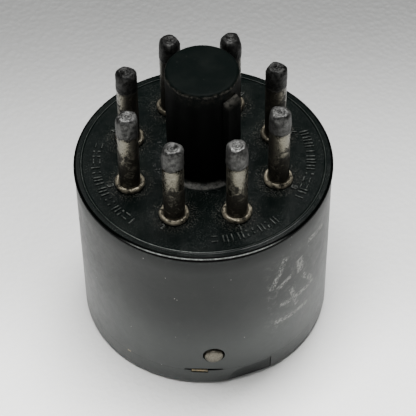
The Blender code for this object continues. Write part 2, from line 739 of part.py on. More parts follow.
def make_blade_stack():
    """Insulating carrier, clamp plate, two contact blades with their contacts, and two rivets."""
    half_width = 0.0057
    carrier = box("blade_carrier", (-half_width, 0.0057, 0.0046), (half_width, BLADE_INNER - FIT_GAP, 0.0076),
                  BROWN_PHENOLIC, bevel=0.00012)
    cut(carrier, *carrier_hole_forms("carrier_rivet_form", 0.0050, 0.0070))
    clamp = box("blade_clamp_plate", (-half_width, BLADE_OUTER + FIT_GAP, 0.0046),
                (half_width, 0.0076, 0.0076), BROWN_PHENOLIC, bevel=0.00012)
    cut(clamp, *carrier_hole_forms("clamp_rivet_form", 0.0062, 0.0080))
    members = [carrier, clamp]
    middle = (BLADE_INNER + BLADE_OUTER) / 2
    half = BLADE_WIDTH / 2
    blade_outline = [
        (-half, 0.0049),
        (half, 0.0049),
        (half, 0.0082),
        (half + 0.0011, 0.0082),
        (half + 0.0011, 0.0092),
        (half, 0.0092),
        (half - 0.0004, 0.0110),
        (half - 0.0004, 0.0129),
        (half - 0.0008, 0.0133),
        (0.0008 - half, 0.0133),
        (0.0004 - half, 0.0129),
        (0.0004 - half, 0.0110),
        (-half, 0.0092),
    ]
    for side, sign in SIDES.items():
        outline = [(sign * across, up) for across, up in blade_outline]
        blade = plate("moving_blade_" + side, outline, (sign * BLADE_X, middle, 0), ALONG_Y,
                      (BLADE_OUTER - BLADE_INNER) / 2, BRONZE)
        contact_place = (sign * BLADE_X, middle, CONTACT_Z)
        hole = rod("blade_contact_form_" + side, CONTACT_SHANK + FIT_GAP,
                   (sign * BLADE_X, middle - 0.001, CONTACT_Z), (sign * BLADE_X, middle + 0.001, CONTACT_Z))
        rivet_hole = rod("blade_rivet_form_" + side, RIVET_HOLE,
                         (sign * BLADE_X, middle - 0.001, CARRIER_RIVET_Z),
                         (sign * BLADE_X, middle + 0.001, CARRIER_RIVET_Z))
        cut(blade, hole, rivet_hole)
        reach = (BLADE_OUTER - BLADE_INNER) / 2 + FIT_GAP
        contact_profile = [
            (0.0, reach + CONTACT_HEAD),
            (0.0005, reach + CONTACT_HEAD),
            (CONTACT_RADIUS, reach + 0.0003),
            (CONTACT_RADIUS, reach),
            (CONTACT_SHANK, reach),
            (CONTACT_SHANK, -reach),
            (CONTACT_RADIUS, -reach),
            (CONTACT_RADIUS, -reach - 0.0003),
            (0.0005, -reach - CONTACT_HEAD),
            (0.0, -reach - CONTACT_HEAD),
        ]
        contact = turned("moving_contact_" + side, contact_profile, SILVER, sides=12, place=contact_place,
                         axis=(0, 1, 0))
        rivet_profile = [
            (0.0, 0.0081),
            (0.0006, 0.0080),
            (0.00085, 0.0077),
            (0.00045, 0.0077),
            (0.00045, 0.0045),
            (0.00085, 0.0045),
            (0.00085, 0.0042),
            (0.0, 0.0041),
        ]
        rivet = turned("carrier_rivet_" + side, rivet_profile, BRASS, sides=12,
                       place=(sign * BLADE_X, 0, CARRIER_RIVET_Z), axis=(0, 1, 0))
        members += [blade, contact, rivet]
    return members


# ---------------------------------------------------------------- fixed contacts


def make_fixed_contacts():
    """Normally closed and normally open strips with their contacts, in an insulating block."""
    block = box("contact_block", (-0.0065, YOKE_OUTER + FIT_GAP, BLOCK_LOW), (0.0065, 0.0094, BLOCK_HIGH),
                BROWN_PHENOLIC, bevel=0.00015)
    half = BLADE_WIDTH / 2
    strip_outline = [
        (-half + 0.0004, 0.0114),
        (half - 0.0004, 0.0114),
        (half, 0.0118),
        (half, 0.0166),
        (0.0007, 0.0166),
        (0.0007, 0.0176),
        (-0.0007, 0.0176),
        (-0.0007, 0.0166),
        (-half, 0.0166),
        (-half, 0.0118),
    ]
    kinds = {"nc": (NC_STRIP, 1.0), "no": (NO_STRIP, -1.0)}
    for kind, (inner, facing) in kinds.items():
        middle = inner + STRIP_THICKNESS / 2
        reach = STRIP_THICKNESS / 2 + FIT_GAP
        contact_profile = [
            (0.0, reach + CONTACT_HEAD),
            (0.0005, reach + CONTACT_HEAD),
            (CONTACT_RADIUS, reach + 0.0003),
            (CONTACT_RADIUS, reach),
            (CONTACT_SHANK, reach),
            (CONTACT_SHANK, -reach),
            (0.0, -reach),
        ]
        for side, sign in SIDES.items():
            label = "%s_%s" % (kind, side)
            x = sign * BLADE_X
            strip = plate("%s_terminal_%s" % (kind, side), strip_outline, (x, middle, 0), ALONG_Y,
                          STRIP_THICKNESS / 2, BRASS)
            cut(strip, rod("strip_hole_form_" + label, CONTACT_SHANK + FIT_GAP,
                           (x, middle - 0.001, CONTACT_Z), (x, middle + 0.001, CONTACT_Z)))
            turned("%s_contact_%s" % (kind, side), contact_profile, SILVER, sides=12,
                   place=(x, middle, CONTACT_Z), axis=(0, facing, 0))
            slot_low = (x - half - FIT_GAP, inner - FIT_GAP, BLOCK_LOW - 0.001)
            slot_high = (x + half + FIT_GAP, inner + STRIP_THICKNESS + FIT_GAP, BLOCK_HIGH + 0.001)
            cut(block, box("block_slot_form_" + label, slot_low, slot_high))
    head_low = 0.0094 + FIT_GAP
    for side, sign in SIDES.items():
        x = sign * BLOCK_SCREW_X
        cut(block, rod("block_hole_form_" + side, SCREW_HOLE, (x, 0.003, BLOCK_SCREW_Z),
                       (x, 0.011, BLOCK_SCREW_Z)))
        profile = [
            (0.0, head_low + 0.0006),
            (0.0009, head_low + 0.0005),
            (SCREW_HEAD, head_low + 0.0002),
            (SCREW_HEAD, head_low),
            (SCREW_SHANK, head_low),
            (SCREW_SHANK, YOKE_INNER - 0.0001),
            (0.0, YOKE_INNER - 0.0002),
        ]
        screw = turned("block_screw_" + side, profile, STEEL, sides=16, place=(x, 0, BLOCK_SCREW_Z),
                       axis=(0, 1, 0))
        slot = box("block_screw_slot_form_" + side, (x - 0.0002, head_low + 0.0003, BLOCK_SCREW_Z - 0.002),
                   (x + 0.0002, head_low + 0.002, BLOCK_SCREW_Z + 0.002))
        cut(screw, slot)


# ---------------------------------------------------------------- spring and leads


def make_return_spring():
    """Extension spring from the armature's tab up to the yoke's lug."""
    low, high = 0.0090, 0.0120
    per_turn = 10
    steps = SPRING_TURNS * per_turn
    coil = []
    for step in range(steps + 1):
        angle = 2.0 * math.pi * step / per_turn - math.pi / 2
        height = low + (high - low) * step / steps
        across, along = SPRING_RADIUS * math.cos(angle), SPRING_RADIUS * math.sin(angle)
        coil.append(Vector((across, SPRING_Y + along, height)))
    hook_below = [
        Vector((0, 0.0055, 0.0077)),
        Vector((0, 0.0047, 0.0077)),
        Vector((0, 0.0043, 0.0079)),
        Vector((0, 0.0042, 0.0084)),
    ]
    hook_above = [
        Vector((0, SPRING_Y - 0.0003, 0.0123)),
        Vector((0, SPRING_Y, 0.0126)),
        Vector((0, SPRING_Y, 0.0134)),
        Vector((0, SPRING_Y + 0.0003, 0.0136)),
        Vector((0, SPRING_Y + 0.0010, 0.0136)),
    ]
    wire("return_spring", hook_below + coil + hook_above, SPRING_WIRE, STEEL)


def make_leads():
    """One insulated wire from each pin to the coil or to a contact."""
    pin_low = FACE_Z - PIN_TAIL
    for number in range(1, PIN_COUNT + 1):
        pin = outward(pin_azimuth(number), PIN_CIRCLE / 2)
        sign = -1.0 if number <= PIN_COUNT // 2 else 1.0
        entry = [pin + Vector((0, 0, pin_low - 0.0003)), pin + Vector((0, 0, pin_low + 0.0018))]
        if number in (2, 7):
            start = [(sign * 0.00495, COIL_Y, 0.0155), (sign * 0.0052, COIL_Y, 0.0167)]
        elif number in (4, 5):
            start = [(sign * BLADE_X, NC_STRIP + 0.0008, 0.0171), (sign * 0.0040, 0.0068, 0.0173)]
        elif number in (3, 6):
            start = [(sign * 0.0053, NO_STRIP, 0.0172), (sign * 0.0072, 0.0064, 0.0172)]
        else:
            around = [(32.0, 0.0097), (2.0, 0.0112), (-30.0, 0.0134), (-52.0, 0.0156)]
            start = [(sign * 0.0070, BLADE_INNER + 0.0001, 0.0087), (sign * 0.0088, 0.0068, 0.0091)]
            for degrees, height in around:
                angle = math.radians(degrees)
                start.append((sign * 0.0119 * math.cos(angle), 0.0119 * math.sin(angle), height))
            start.append((sign * 0.0050, -0.0086, 0.0170))
        route = smooth_route([Vector(place) for place in start] + entry, 3)
        wire("lead_wire_%d" % number, route, WIRE_RADIUS, WIRE_COLOURS[number - 1])


# ---------------------------------------------------------------- build

make_header_base()
make_pins()
make_cover()
make_end_cap()
make_chassis_plate()
for catch_side, catch_azimuth in CATCH_AZIMUTHS.items():
    make_catch(catch_side, catch_azimuth)
make_yoke()
make_frame_screws()
make_coil()
armature_piece = make_armature()
make_hinge_pin()
moving_group("armature_hinge", (0, HINGE_Y, HINGE_Z), [armature_piece] + make_blade_stack())
make_fixed_contacts()
make_return_spring()
make_leads()
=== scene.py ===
"""Looks of the octal plug-in relay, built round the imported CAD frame."""
import functools
import json
import math
import random

import bmesh
import bpy
from mathutils import Matrix, Vector, noise


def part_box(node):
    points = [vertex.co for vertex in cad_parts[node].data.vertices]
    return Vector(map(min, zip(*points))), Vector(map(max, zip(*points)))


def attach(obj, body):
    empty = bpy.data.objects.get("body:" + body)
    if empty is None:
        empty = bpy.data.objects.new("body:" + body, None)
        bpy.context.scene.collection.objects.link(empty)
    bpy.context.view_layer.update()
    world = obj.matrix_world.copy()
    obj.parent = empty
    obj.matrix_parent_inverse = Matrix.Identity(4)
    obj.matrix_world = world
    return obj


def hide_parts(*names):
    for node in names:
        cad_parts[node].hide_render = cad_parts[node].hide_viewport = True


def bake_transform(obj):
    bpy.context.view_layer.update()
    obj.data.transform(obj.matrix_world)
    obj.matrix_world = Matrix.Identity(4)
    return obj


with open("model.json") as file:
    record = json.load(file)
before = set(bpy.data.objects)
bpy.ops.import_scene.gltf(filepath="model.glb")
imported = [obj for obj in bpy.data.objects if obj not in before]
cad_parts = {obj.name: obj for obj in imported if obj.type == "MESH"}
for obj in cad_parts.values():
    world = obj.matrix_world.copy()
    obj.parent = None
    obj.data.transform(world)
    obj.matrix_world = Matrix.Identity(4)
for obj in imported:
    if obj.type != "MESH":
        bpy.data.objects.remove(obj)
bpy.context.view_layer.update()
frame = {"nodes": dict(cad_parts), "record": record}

HOUSING = "housing"
ARMATURE = "armature_assembly"

# -------- sizes, from the frame

BASE_LOW, BASE_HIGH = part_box("header_base")
CAP_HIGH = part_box("end_cap")[1].z
PLATE_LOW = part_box("chassis_plate")[0].z
FACE_Z = frame["record"]["mounts"][0]["pos_m"][2]
POST_TOP = BASE_HIGH.z
FLANGE_RADIUS = BASE_HIGH.x
FLANGE_LOW = FACE_Z - 0.00062
SLEEVE_TOP = FLANGE_LOW - 0.00006
COVER_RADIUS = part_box("cover_shell")[1].x
COVER_WALL = 0.0010
COVER_INSIDE = COVER_RADIUS - COVER_WALL
POST_RADIUS = 0.00394
KEY_REACH = 0.00469
KEY_WIDTH = 0.00206
PIN_COUNT = 8
PIN_CIRCLE_RADIUS = 0.008725
PIN_RADIUS = 0.00118
PIN_LOW, PIN_TOP = (corner.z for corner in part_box("contact_pin_1"))
COLLAR_RADIUS = 0.00158
CATCH_AZIMUTHS = {"front": math.radians(-132.8), "rear": math.radians(47.2)}
CATCH_Z = 0.0051
HOLE_Z = CATCH_Z + 0.00014
HOLE_RADIUS = 0.00124
MM = 0.001
FACE_MM = FACE_Z / MM
COVER_MM = COVER_RADIUS / MM
TIP_MM = PIN_TOP / MM

CAMERA_AZIMUTH = math.radians(-136.17)


def outward(azimuth, radius, height=0.0):
    """A point at an azimuth and a distance from the relay's axis."""
    return Vector((radius * math.cos(azimuth), radius * math.sin(azimuth), height))


def millimetres(*points):
    """Outline points given in millimetres."""
    return [(across * MM, along * MM) for across, along in points]


def pin_azimuth(number):
    """Pins count clockwise from the key, seen from the pin side."""
    return math.radians(-90.0 - 180.0 / PIN_COUNT - (number - 1) * 360.0 / PIN_COUNT)


# -------- node graphs


class Graph:
    """A Principled material built up from procedural nodes, with positions in millimetres."""

    def __init__(self, name):
        self.material = bpy.data.materials.new(name)
        self.material.use_nodes = True
        self.tree = self.material.node_tree
        self.shader = self.tree.nodes["Principled BSDF"]
        coordinates = self.node("ShaderNodeTexCoord").outputs["Object"]
        scaled = self.node("ShaderNodeVectorMath", {0: coordinates}, operation="SCALE")
        scaled.inputs["Scale"].default_value = 1.0 / MM
        self.place = scaled.outputs[0]
        split = self.node("ShaderNodeSeparateXYZ", {0: self.place})
        self.x, self.y, self.z = split.outputs
        self.normal = None

    def node(self, kind, inputs=None, **settings):
        """Add a node, set its properties, and link or set its inputs."""
        made = self.tree.nodes.new(kind)
        for name, value in settings.items():
            setattr(made, name, value)
        for key, value in (inputs or {}).items():
            self.feed(made.inputs[key], value)
        return made

    def feed(self, socket, value):
        """Link a socket, or set its value."""
        if isinstance(value, bpy.types.NodeSocket):
            self.tree.links.new(value, socket)
        else:
            socket.default_value = value

    def math(self, operation, first, second=0.0):
        """A math node's result."""
        return self.node("ShaderNodeMath", {0: first, 1: second}, operation=operation).outputs[0]

    def plus(self, first, second):
        """Sum of two values."""
        return self.math("ADD", first, second)

    def minus(self, first, second):
        """Difference of two values."""
        return self.math("SUBTRACT", first, second)

    def noise(self, scale, detail=3.0, roughness=0.5, distortion=0.0, place=None):
        """Noise with features of about 1 / scale millimetres."""
        inputs = {"Vector": place or self.place, "Scale": scale, "Detail": detail, "Roughness": roughness,
                  "Distortion": distortion}
        return self.node("ShaderNodeTexNoise", inputs).outputs["Fac"]

    def stretched(self, x, y, z):
        """Position scaled differently along each axis, for streaks."""
        made = self.node("ShaderNodeVectorMath", {0: self.place, 1: (x, y, z)}, operation="MULTIPLY")
        return made.outputs[0]

    def cells(self, scale):
        """Distance to the nearest of a scatter of points."""
        made = self.node("ShaderNodeTexVoronoi", {"Vector": self.place, "Scale": scale})
        return made.outputs["Distance"]

    def step(self, value, low, high):
        """Smooth change from 0 at low to 1 at high."""
        made = self.node("ShaderNodeMapRange", {"Value": value, "From Min": low, "From Max": high},
                         interpolation_type="SMOOTHSTEP", clamp=True)
        return made.outputs[0]

    def band(self, value, low, high, soft):
        """1 between low and high, falling to 0 over soft on both sides."""
        rise = self.step(value, low - soft, low)
        fall = self.step(value, high + soft, high)
        return self.times(rise, fall)

    def spread(self, value, low, high):
        """Value from 0..1 taken to low..high."""
        made = self.node("ShaderNodeMapRange", {"Value": value, "To Min": low, "To Max": high})
        return made.outputs[0]

    def patches(self, low, high, *noise):
        """Mask of ragged patches: noise, with a smooth change from 0 at low to 1 at high."""
        return self.step(self.noise(*noise), low, high)

    def uneven(self, low, high, *noise):
        """Noise taken to low..high."""
        return self.spread(self.noise(*noise), low, high)

    def times(self, *values):
        """Product of several masks."""
        return functools.reduce(lambda first, second: self.math("MULTIPLY", first, second), values)

    def larger(self, *values):
        """Largest of several masks."""
        return functools.reduce(lambda first, second: self.math("MAXIMUM", first, second), values)

    def mix(self, share, first, second):
        """Colour from first to second."""
        made = self.node("ShaderNodeMix", data_type="RGBA")
        self.feed(made.inputs[0], share)
        for socket, value in ((made.inputs[6], first), (made.inputs[7], second)):
            self.feed(socket, value if isinstance(value, bpy.types.NodeSocket) else (*value, 1.0))
        return made.outputs[2]

    def paint(self, colour, *masks):
        """Lay a colour over the one so far, where all the masks are."""
        self.colour = self.mix(self.times(*masks), self.colour, colour)

    def polish(self, roughness, *masks):
        """Set a roughness over the one so far, where all the masks are."""
        self.roughness = self.blend(self.times(*masks), self.roughness, roughness)

    def blend(self, share, first, second):
        """Number from first to second."""
        made = self.node("ShaderNodeMix", data_type="FLOAT")
        for socket, value in ((made.inputs[0], share), (made.inputs[2], first), (made.inputs[3], second)):
            self.feed(socket, value)
        return made.outputs[0]

    def distance(self, across, along):
        """Length of a flat offset."""
        return self.math("SQRT", self.plus(self.times(across, across), self.times(along, along)))

    def radius(self):
        """Distance from the relay's axis."""
        return self.distance(self.x, self.y)

    def towards(self, azimuth):
        """Distance from the relay's axis towards an azimuth."""
        ahead = outward(azimuth, 1.0)
        return self.plus(self.times(self.x, ahead.x), self.times(self.y, ahead.y))

    def azimuth(self):
        """Azimuth about the relay's axis, in degrees."""
        return self.times(self.math("ARCTAN2", self.y, self.x), math.degrees(1.0))

    def bump(self, height, distance, strength):
        """Add a bump, of a height given in millimetres, to the ones so far."""
        inputs = {"Height": height, "Distance": distance * MM, "Strength": strength}
        made = self.node("ShaderNodeBump", inputs)
        if self.normal is not None:
            self.feed(made.inputs["Normal"], self.normal)
        self.normal = made.outputs[0]

    def finish(self, metallic=0.0, **sockets):
        """Wire the shader and return the material."""
        sockets.update(Base_Color=self.colour, Roughness=self.roughness, Metallic=metallic,
                       Normal=self.normal)
        for name, value in sockets.items():
            self.feed(self.shader.inputs[name.replace("_", " ")], value)
        return self.material


# -------- materials


def base_phenolic():
    """Glossy black moulding: smudged face, dull post, rubbed edges, dirt and painted shade round the pins,
    painted highlights on the flange edge and the face's ring.
    """
    g = Graph("base_phenolic")
    radius = g.radius()
    clouds = g.noise(0.28, 4, 0.6)
    smears = g.noise(1.1, 5, 0.65, 0.6)
    grain = g.noise(9.0, 2, 0.5)
    g.colour = g.mix(g.step(clouds, 0.35, 0.75), (0.0006, 0.0014, 0.0012), (0.0022, 0.0030, 0.0026))
    g.roughness = g.spread(smears, 0.10, 0.27)

    # a darker ring round each pin's collar: partly dirt, partly painted contact shade where the collar meets
    # the face
    turn = g.minus(g.math("FLOORED_MODULO", g.azimuth(), 45.0), 22.5)
    turned = g.times(turn, math.radians(1.0))
    across = g.times(radius, g.math("SINE", turned))
    along = g.minus(g.times(radius, g.math("COSINE", turned)), PIN_CIRCLE_RADIUS / MM)
    near = g.distance(across, along)
    on_face = g.band(g.z, 22.2, 22.5, 0.1)
    ragged = g.plus(near, g.uneven(-0.5, 0.5, 1.3, 4, 0.7))
    halo = g.times(g.band(ragged, 1.0, 1.9, 0.6), on_face)
    g.paint((0.0008, 0.0012, 0.0010), halo, 0.75)
    crumbs = g.times(g.patches(0.54, 0.64, 6.0, 3, 0.7), g.band(near, 1.5, 2.2, 0.8), on_face)
    g.paint((0.034, 0.033, 0.028), crumbs, 0.6)
    grit = g.times(g.patches(0.54, 0.66, 7.0, 3, 0.7), g.patches(0.35, 0.58, 0.45, 3), on_face)
    g.paint((0.017, 0.019, 0.017), grit, 0.6)

    # rubbed ring at the post's foot
    foot = g.times(g.band(radius, 4.10, 4.42, 0.28), g.band(g.z, 22.2, 22.66, 0.18))
    speckled = g.spread(g.patches(0.42, 0.58, 10.0, 3, 0.75), 0.25, 1.0)
    patchy = g.times(g.patches(0.32, 0.60, 1.6, 5, 0.7), speckled)
    sprinkled = g.times(g.step(radius, 7.0, 4.6), g.patches(0.60, 0.68, 5.0, 4, 0.8), on_face)
    rubbed = g.larger(g.times(foot, patchy), g.times(sprinkled, 0.5))
    g.paint((0.085, 0.083, 0.075), rubbed, 0.85)

    # worn edges of the post's top and the key's end, and a painted highlight line on the flange's rounded
    # edge, brightest towards the camera
    chips = g.patches(0.42, 0.66, 3.2, 5, 0.75)
    post_edge = g.times(g.band(radius, 3.82, 3.96, 0.05), g.band(g.z, 35.48, 35.66, 0.07), chips)
    post_wear = g.times(g.band(radius, 3.82, 3.96, 0.05), g.band(g.z, 34.6, 35.5, 0.9),
                        g.patches(0.46, 0.64, 1.7, 5, 0.78, 0.4))
    key_end = g.times(g.step(g.y, -3.85, -4.1), g.step(radius, 5.2, 4.9), g.band(g.z, 33.75, 34.5, 0.3),
                      g.patches(0.32, 0.58, 2.4, 5, 0.75))
    # painted highlight: a light line on the flange's rounding, on the side facing the camera
    rim_highlight = g.times(g.step(radius, 14.10, 14.18), g.band(g.z, 22.07, 22.19, 0.04), g.spread(chips, 0.6, 1.0),
                  g.step(g.towards(CAMERA_AZIMUTH), 10.5, 13.3))
    g.paint((0.016, 0.0145, 0.012), post_wear, 0.55)
    g.paint((0.052, 0.049, 0.043), post_edge, 0.75)
    g.paint((0.050, 0.047, 0.041), key_end, 0.85)
    g.paint((0.260, 0.272, 0.262), rim_highlight, 0.9)

    # tops of the raised marks are painted brighter, partly rubbed wear and partly a painted highlight; the
    # ring round the face gets a painted highlight, strongest on the camera's side
    proud = g.times(g.step(g.z, FACE_MM + 0.045, FACE_MM + 0.09), g.step(radius, 9.9, 10.1))
    proud = g.times(proud, g.step(g.z, FACE_MM + 0.4, FACE_MM + 0.3), g.spread(chips, 0.15, 1.0))
    g.paint((0.050, 0.053, 0.049), proud, 0.8)
    # painted highlight on the ring round the face, strongest towards the camera
    highlight_side = g.step(g.towards(CAMERA_AZIMUTH - math.radians(17.0)), 11.0, 13.2)
    ring = g.times(g.band(radius, 13.42, 13.47, 0.03), g.band(g.z, 22.25, 22.5, 0.04),
                   g.spread(chips, 0.4, 1.0), g.spread(highlight_side, 0.22, 1.0))
    g.paint((0.105, 0.112, 0.106), ring)

    # dust specks
    dust = g.times(g.step(g.cells(1.6), 0.085, 0.05), g.patches(0.50, 0.60, 0.5))
    g.paint((0.10, 0.10, 0.09), dust, 0.3)

    # the post's side is dull, and the flange's flank is painted nearly black as painted shade
    post_side = g.times(g.step(radius, 5.2, 5.0), g.step(g.z, 22.7, 23.0))
    flank = g.times(g.step(radius, 13.95, 14.05), g.minus(1.0, rim_highlight))
    g.paint((0.0004, 0.0006, 0.0005), flank)
    g.polish(g.spread(smears, 0.42, 0.58), post_side)
    g.paint((0.0006, 0.0008, 0.0007), post_side, g.step(g.z, 35.3, 33.5), 0.9)
    g.polish(0.62, rubbed)
    g.polish(0.55, g.larger(post_edge, key_end))
    g.polish(0.20, rim_highlight)
    scratches = g.patches(0.62, 0.70, 3.0, 2, 0.5, 0.0, g.stretched(6.0, 0.35, 1.0))
    shine = g.blend(g.band(radius, 13.28, 13.60, 0.04), g.blend(flank, 0.115, 0.005), 0.01)
    shine = g.blend(post_side, shine, g.blend(g.step(g.z, 35.75, 35.3), 0.012, 0.02))
    g.bump(grain, 0.004, 0.6)
    g.bump(g.plus(smears, g.times(scratches, 0.3)), 0.010, 0.6)
    g.bump(g.times(g.larger(rubbed, key_end, post_edge), g.noise(7.0, 3, 0.7)), 0.05, 0.8)
    return g.finish(Specular_IOR_Level=shine)


def strokes(g, azimuth, segments):
    """Mask of worn strokes on the wall, each between two points given by azimuth and height."""
    found = []
    mm_per_degree = math.radians(COVER_MM)
    along = g.times(azimuth, mm_per_degree)
    for (start_degrees, start_z), (end_degrees, end_z), width in segments:
        run, rise = (end_degrees - start_degrees) * mm_per_degree, end_z - start_z
        length = math.hypot(run, rise)
        run, rise = run / length, rise / length
        across = g.minus(along, start_degrees * mm_per_degree)
        up = g.minus(g.z, start_z)
        onward = g.plus(g.times(across, run), g.times(up, rise))
        aside = g.math("ABSOLUTE", g.minus(g.times(across, rise), g.times(up, run)))
        found.append(g.times(g.step(aside, width, width * 0.45), g.band(onward, 0.0, length, 0.35)))
    return g.larger(*found)


def cover_plastic(name="cover_plastic", marked=True):
    """Satin black plastic: fine rubbing, smudges, specks, the last of a rubbed-off white print, and a painted
    shade band under the flange.
    """
    g = Graph(name)
    azimuth = g.azimuth()
    clouds = g.noise(0.22, 4, 0.6)
    smears = g.noise(0.9, 5, 0.62, 0.5)
    grain = g.noise(14.0, 2, 0.5)
    g.colour = g.mix(g.step(clouds, 0.30, 0.75), (0.0018, 0.0024, 0.0023), (0.0060, 0.0066, 0.0061))
    g.roughness = g.spread(smears, 0.27, 0.50)
    fine = g.noise(2.0, 3, 0.6, 0.0, g.stretched(1.0, 1.0, 9.0))
    g.roughness = g.plus(g.roughness, g.spread(fine, -0.04, 0.05))

    specks = g.times(g.step(g.cells(0.9), 0.060, 0.035), g.patches(0.52, 0.60, 0.35))
    g.paint((0.28, 0.28, 0.26), specks, 0.9)
    rubbing = g.times(g.patches(0.56, 0.75, 0.8, 6, 0.75, 0.3, g.stretched(1.0, 1.0, 0.5)), 0.20)
    g.paint((0.035, 0.035, 0.033), rubbing)

    edges = g.larger(g.step(g.z, 2.95, 2.62), g.step(g.z, 21.1, 21.4))
    chips = g.patches(0.45, 0.70, 3.0, 5, 0.75)
    g.paint((0.03, 0.03, 0.028), edges, chips, 0.35)

    if marked:
        printed = strokes(g, azimuth, [
            ((-98.8, 18.4), (-102.0, 16.2), 0.50),
            ((-102.0, 16.4), (-105.6, 14.4), 0.46),
            ((-95.2, 14.8), (-102.0, 14.0), 0.44),
            ((-89.8, 16.6), (-88.6, 14.6), 0.75),
            ((-102.8, 8.1), (-83.0, 7.5), 0.46),
            ((-83.2, 18.4), (-70.7, 17.8), 0.50),
            ((-100.2, 10.7), (-78.4, 10.3), 0.46),
            ((-94.5, 12.5), (-90.5, 9.2), 0.42),
            ((-86.5, 13.2), (-79.5, 11.0), 0.46),
        ])
        torn = g.patches(0.43, 0.58, 2.1, 6, 0.78, 0.8)
        haze = g.times(g.band(azimuth, -106.0, -70.0, 5.0), g.band(g.z, 7.0, 18.6, 1.2),
                       g.patches(0.48, 0.72, 1.1, 6, 0.75, 0.6), 0.26)
        ink = g.larger(g.times(printed, torn), haze)
        g.paint((0.220, 0.220, 0.207), ink, 0.82)
        g.polish(0.60, ink)

    g.bump(grain, 0.003, 0.6)
    scratches = g.patches(0.66, 0.74, 1.6, 3, 0.6, 0.2, g.stretched(1.0, 1.0, 7.0))
    g.bump(g.minus(smears, g.times(scratches, 0.35)), 0.012, 0.6)
    recess = g.times(g.band(g.radius(), 12.6, COVER_MM - 0.10, 0.04), g.step(g.z, 2.32, 2.26),
                     g.step(g.z, 0.55, 0.7))
    lower = g.math("POWER", g.step(g.z, 23.0, 2.0), 3.6)
    # painted shade: a near-black band at the sleeve's top stands in for the shadow in the gap under the
    # flange
    seam = g.step(g.z, SLEEVE_TOP / MM - 0.09, SLEEVE_TOP / MM - 0.05)
    g.paint((0.0004, 0.0005, 0.0005), seam)
    shine = g.blend(seam, g.blend(recess, g.blend(lower, 0.150, 0.68), 0.55), 0.0)
    fleck = g.times(g.band(azimuth, -175.2, -173.6, 0.3), g.band(g.z, 2.36, 2.50, 0.05))
    g.paint((0.22, 0.17, 0.09), fleck)
    return g.finish(Specular_IOR_Level=shine, Specular_Tint=(0.94, 1.0, 0.98, 1.0))


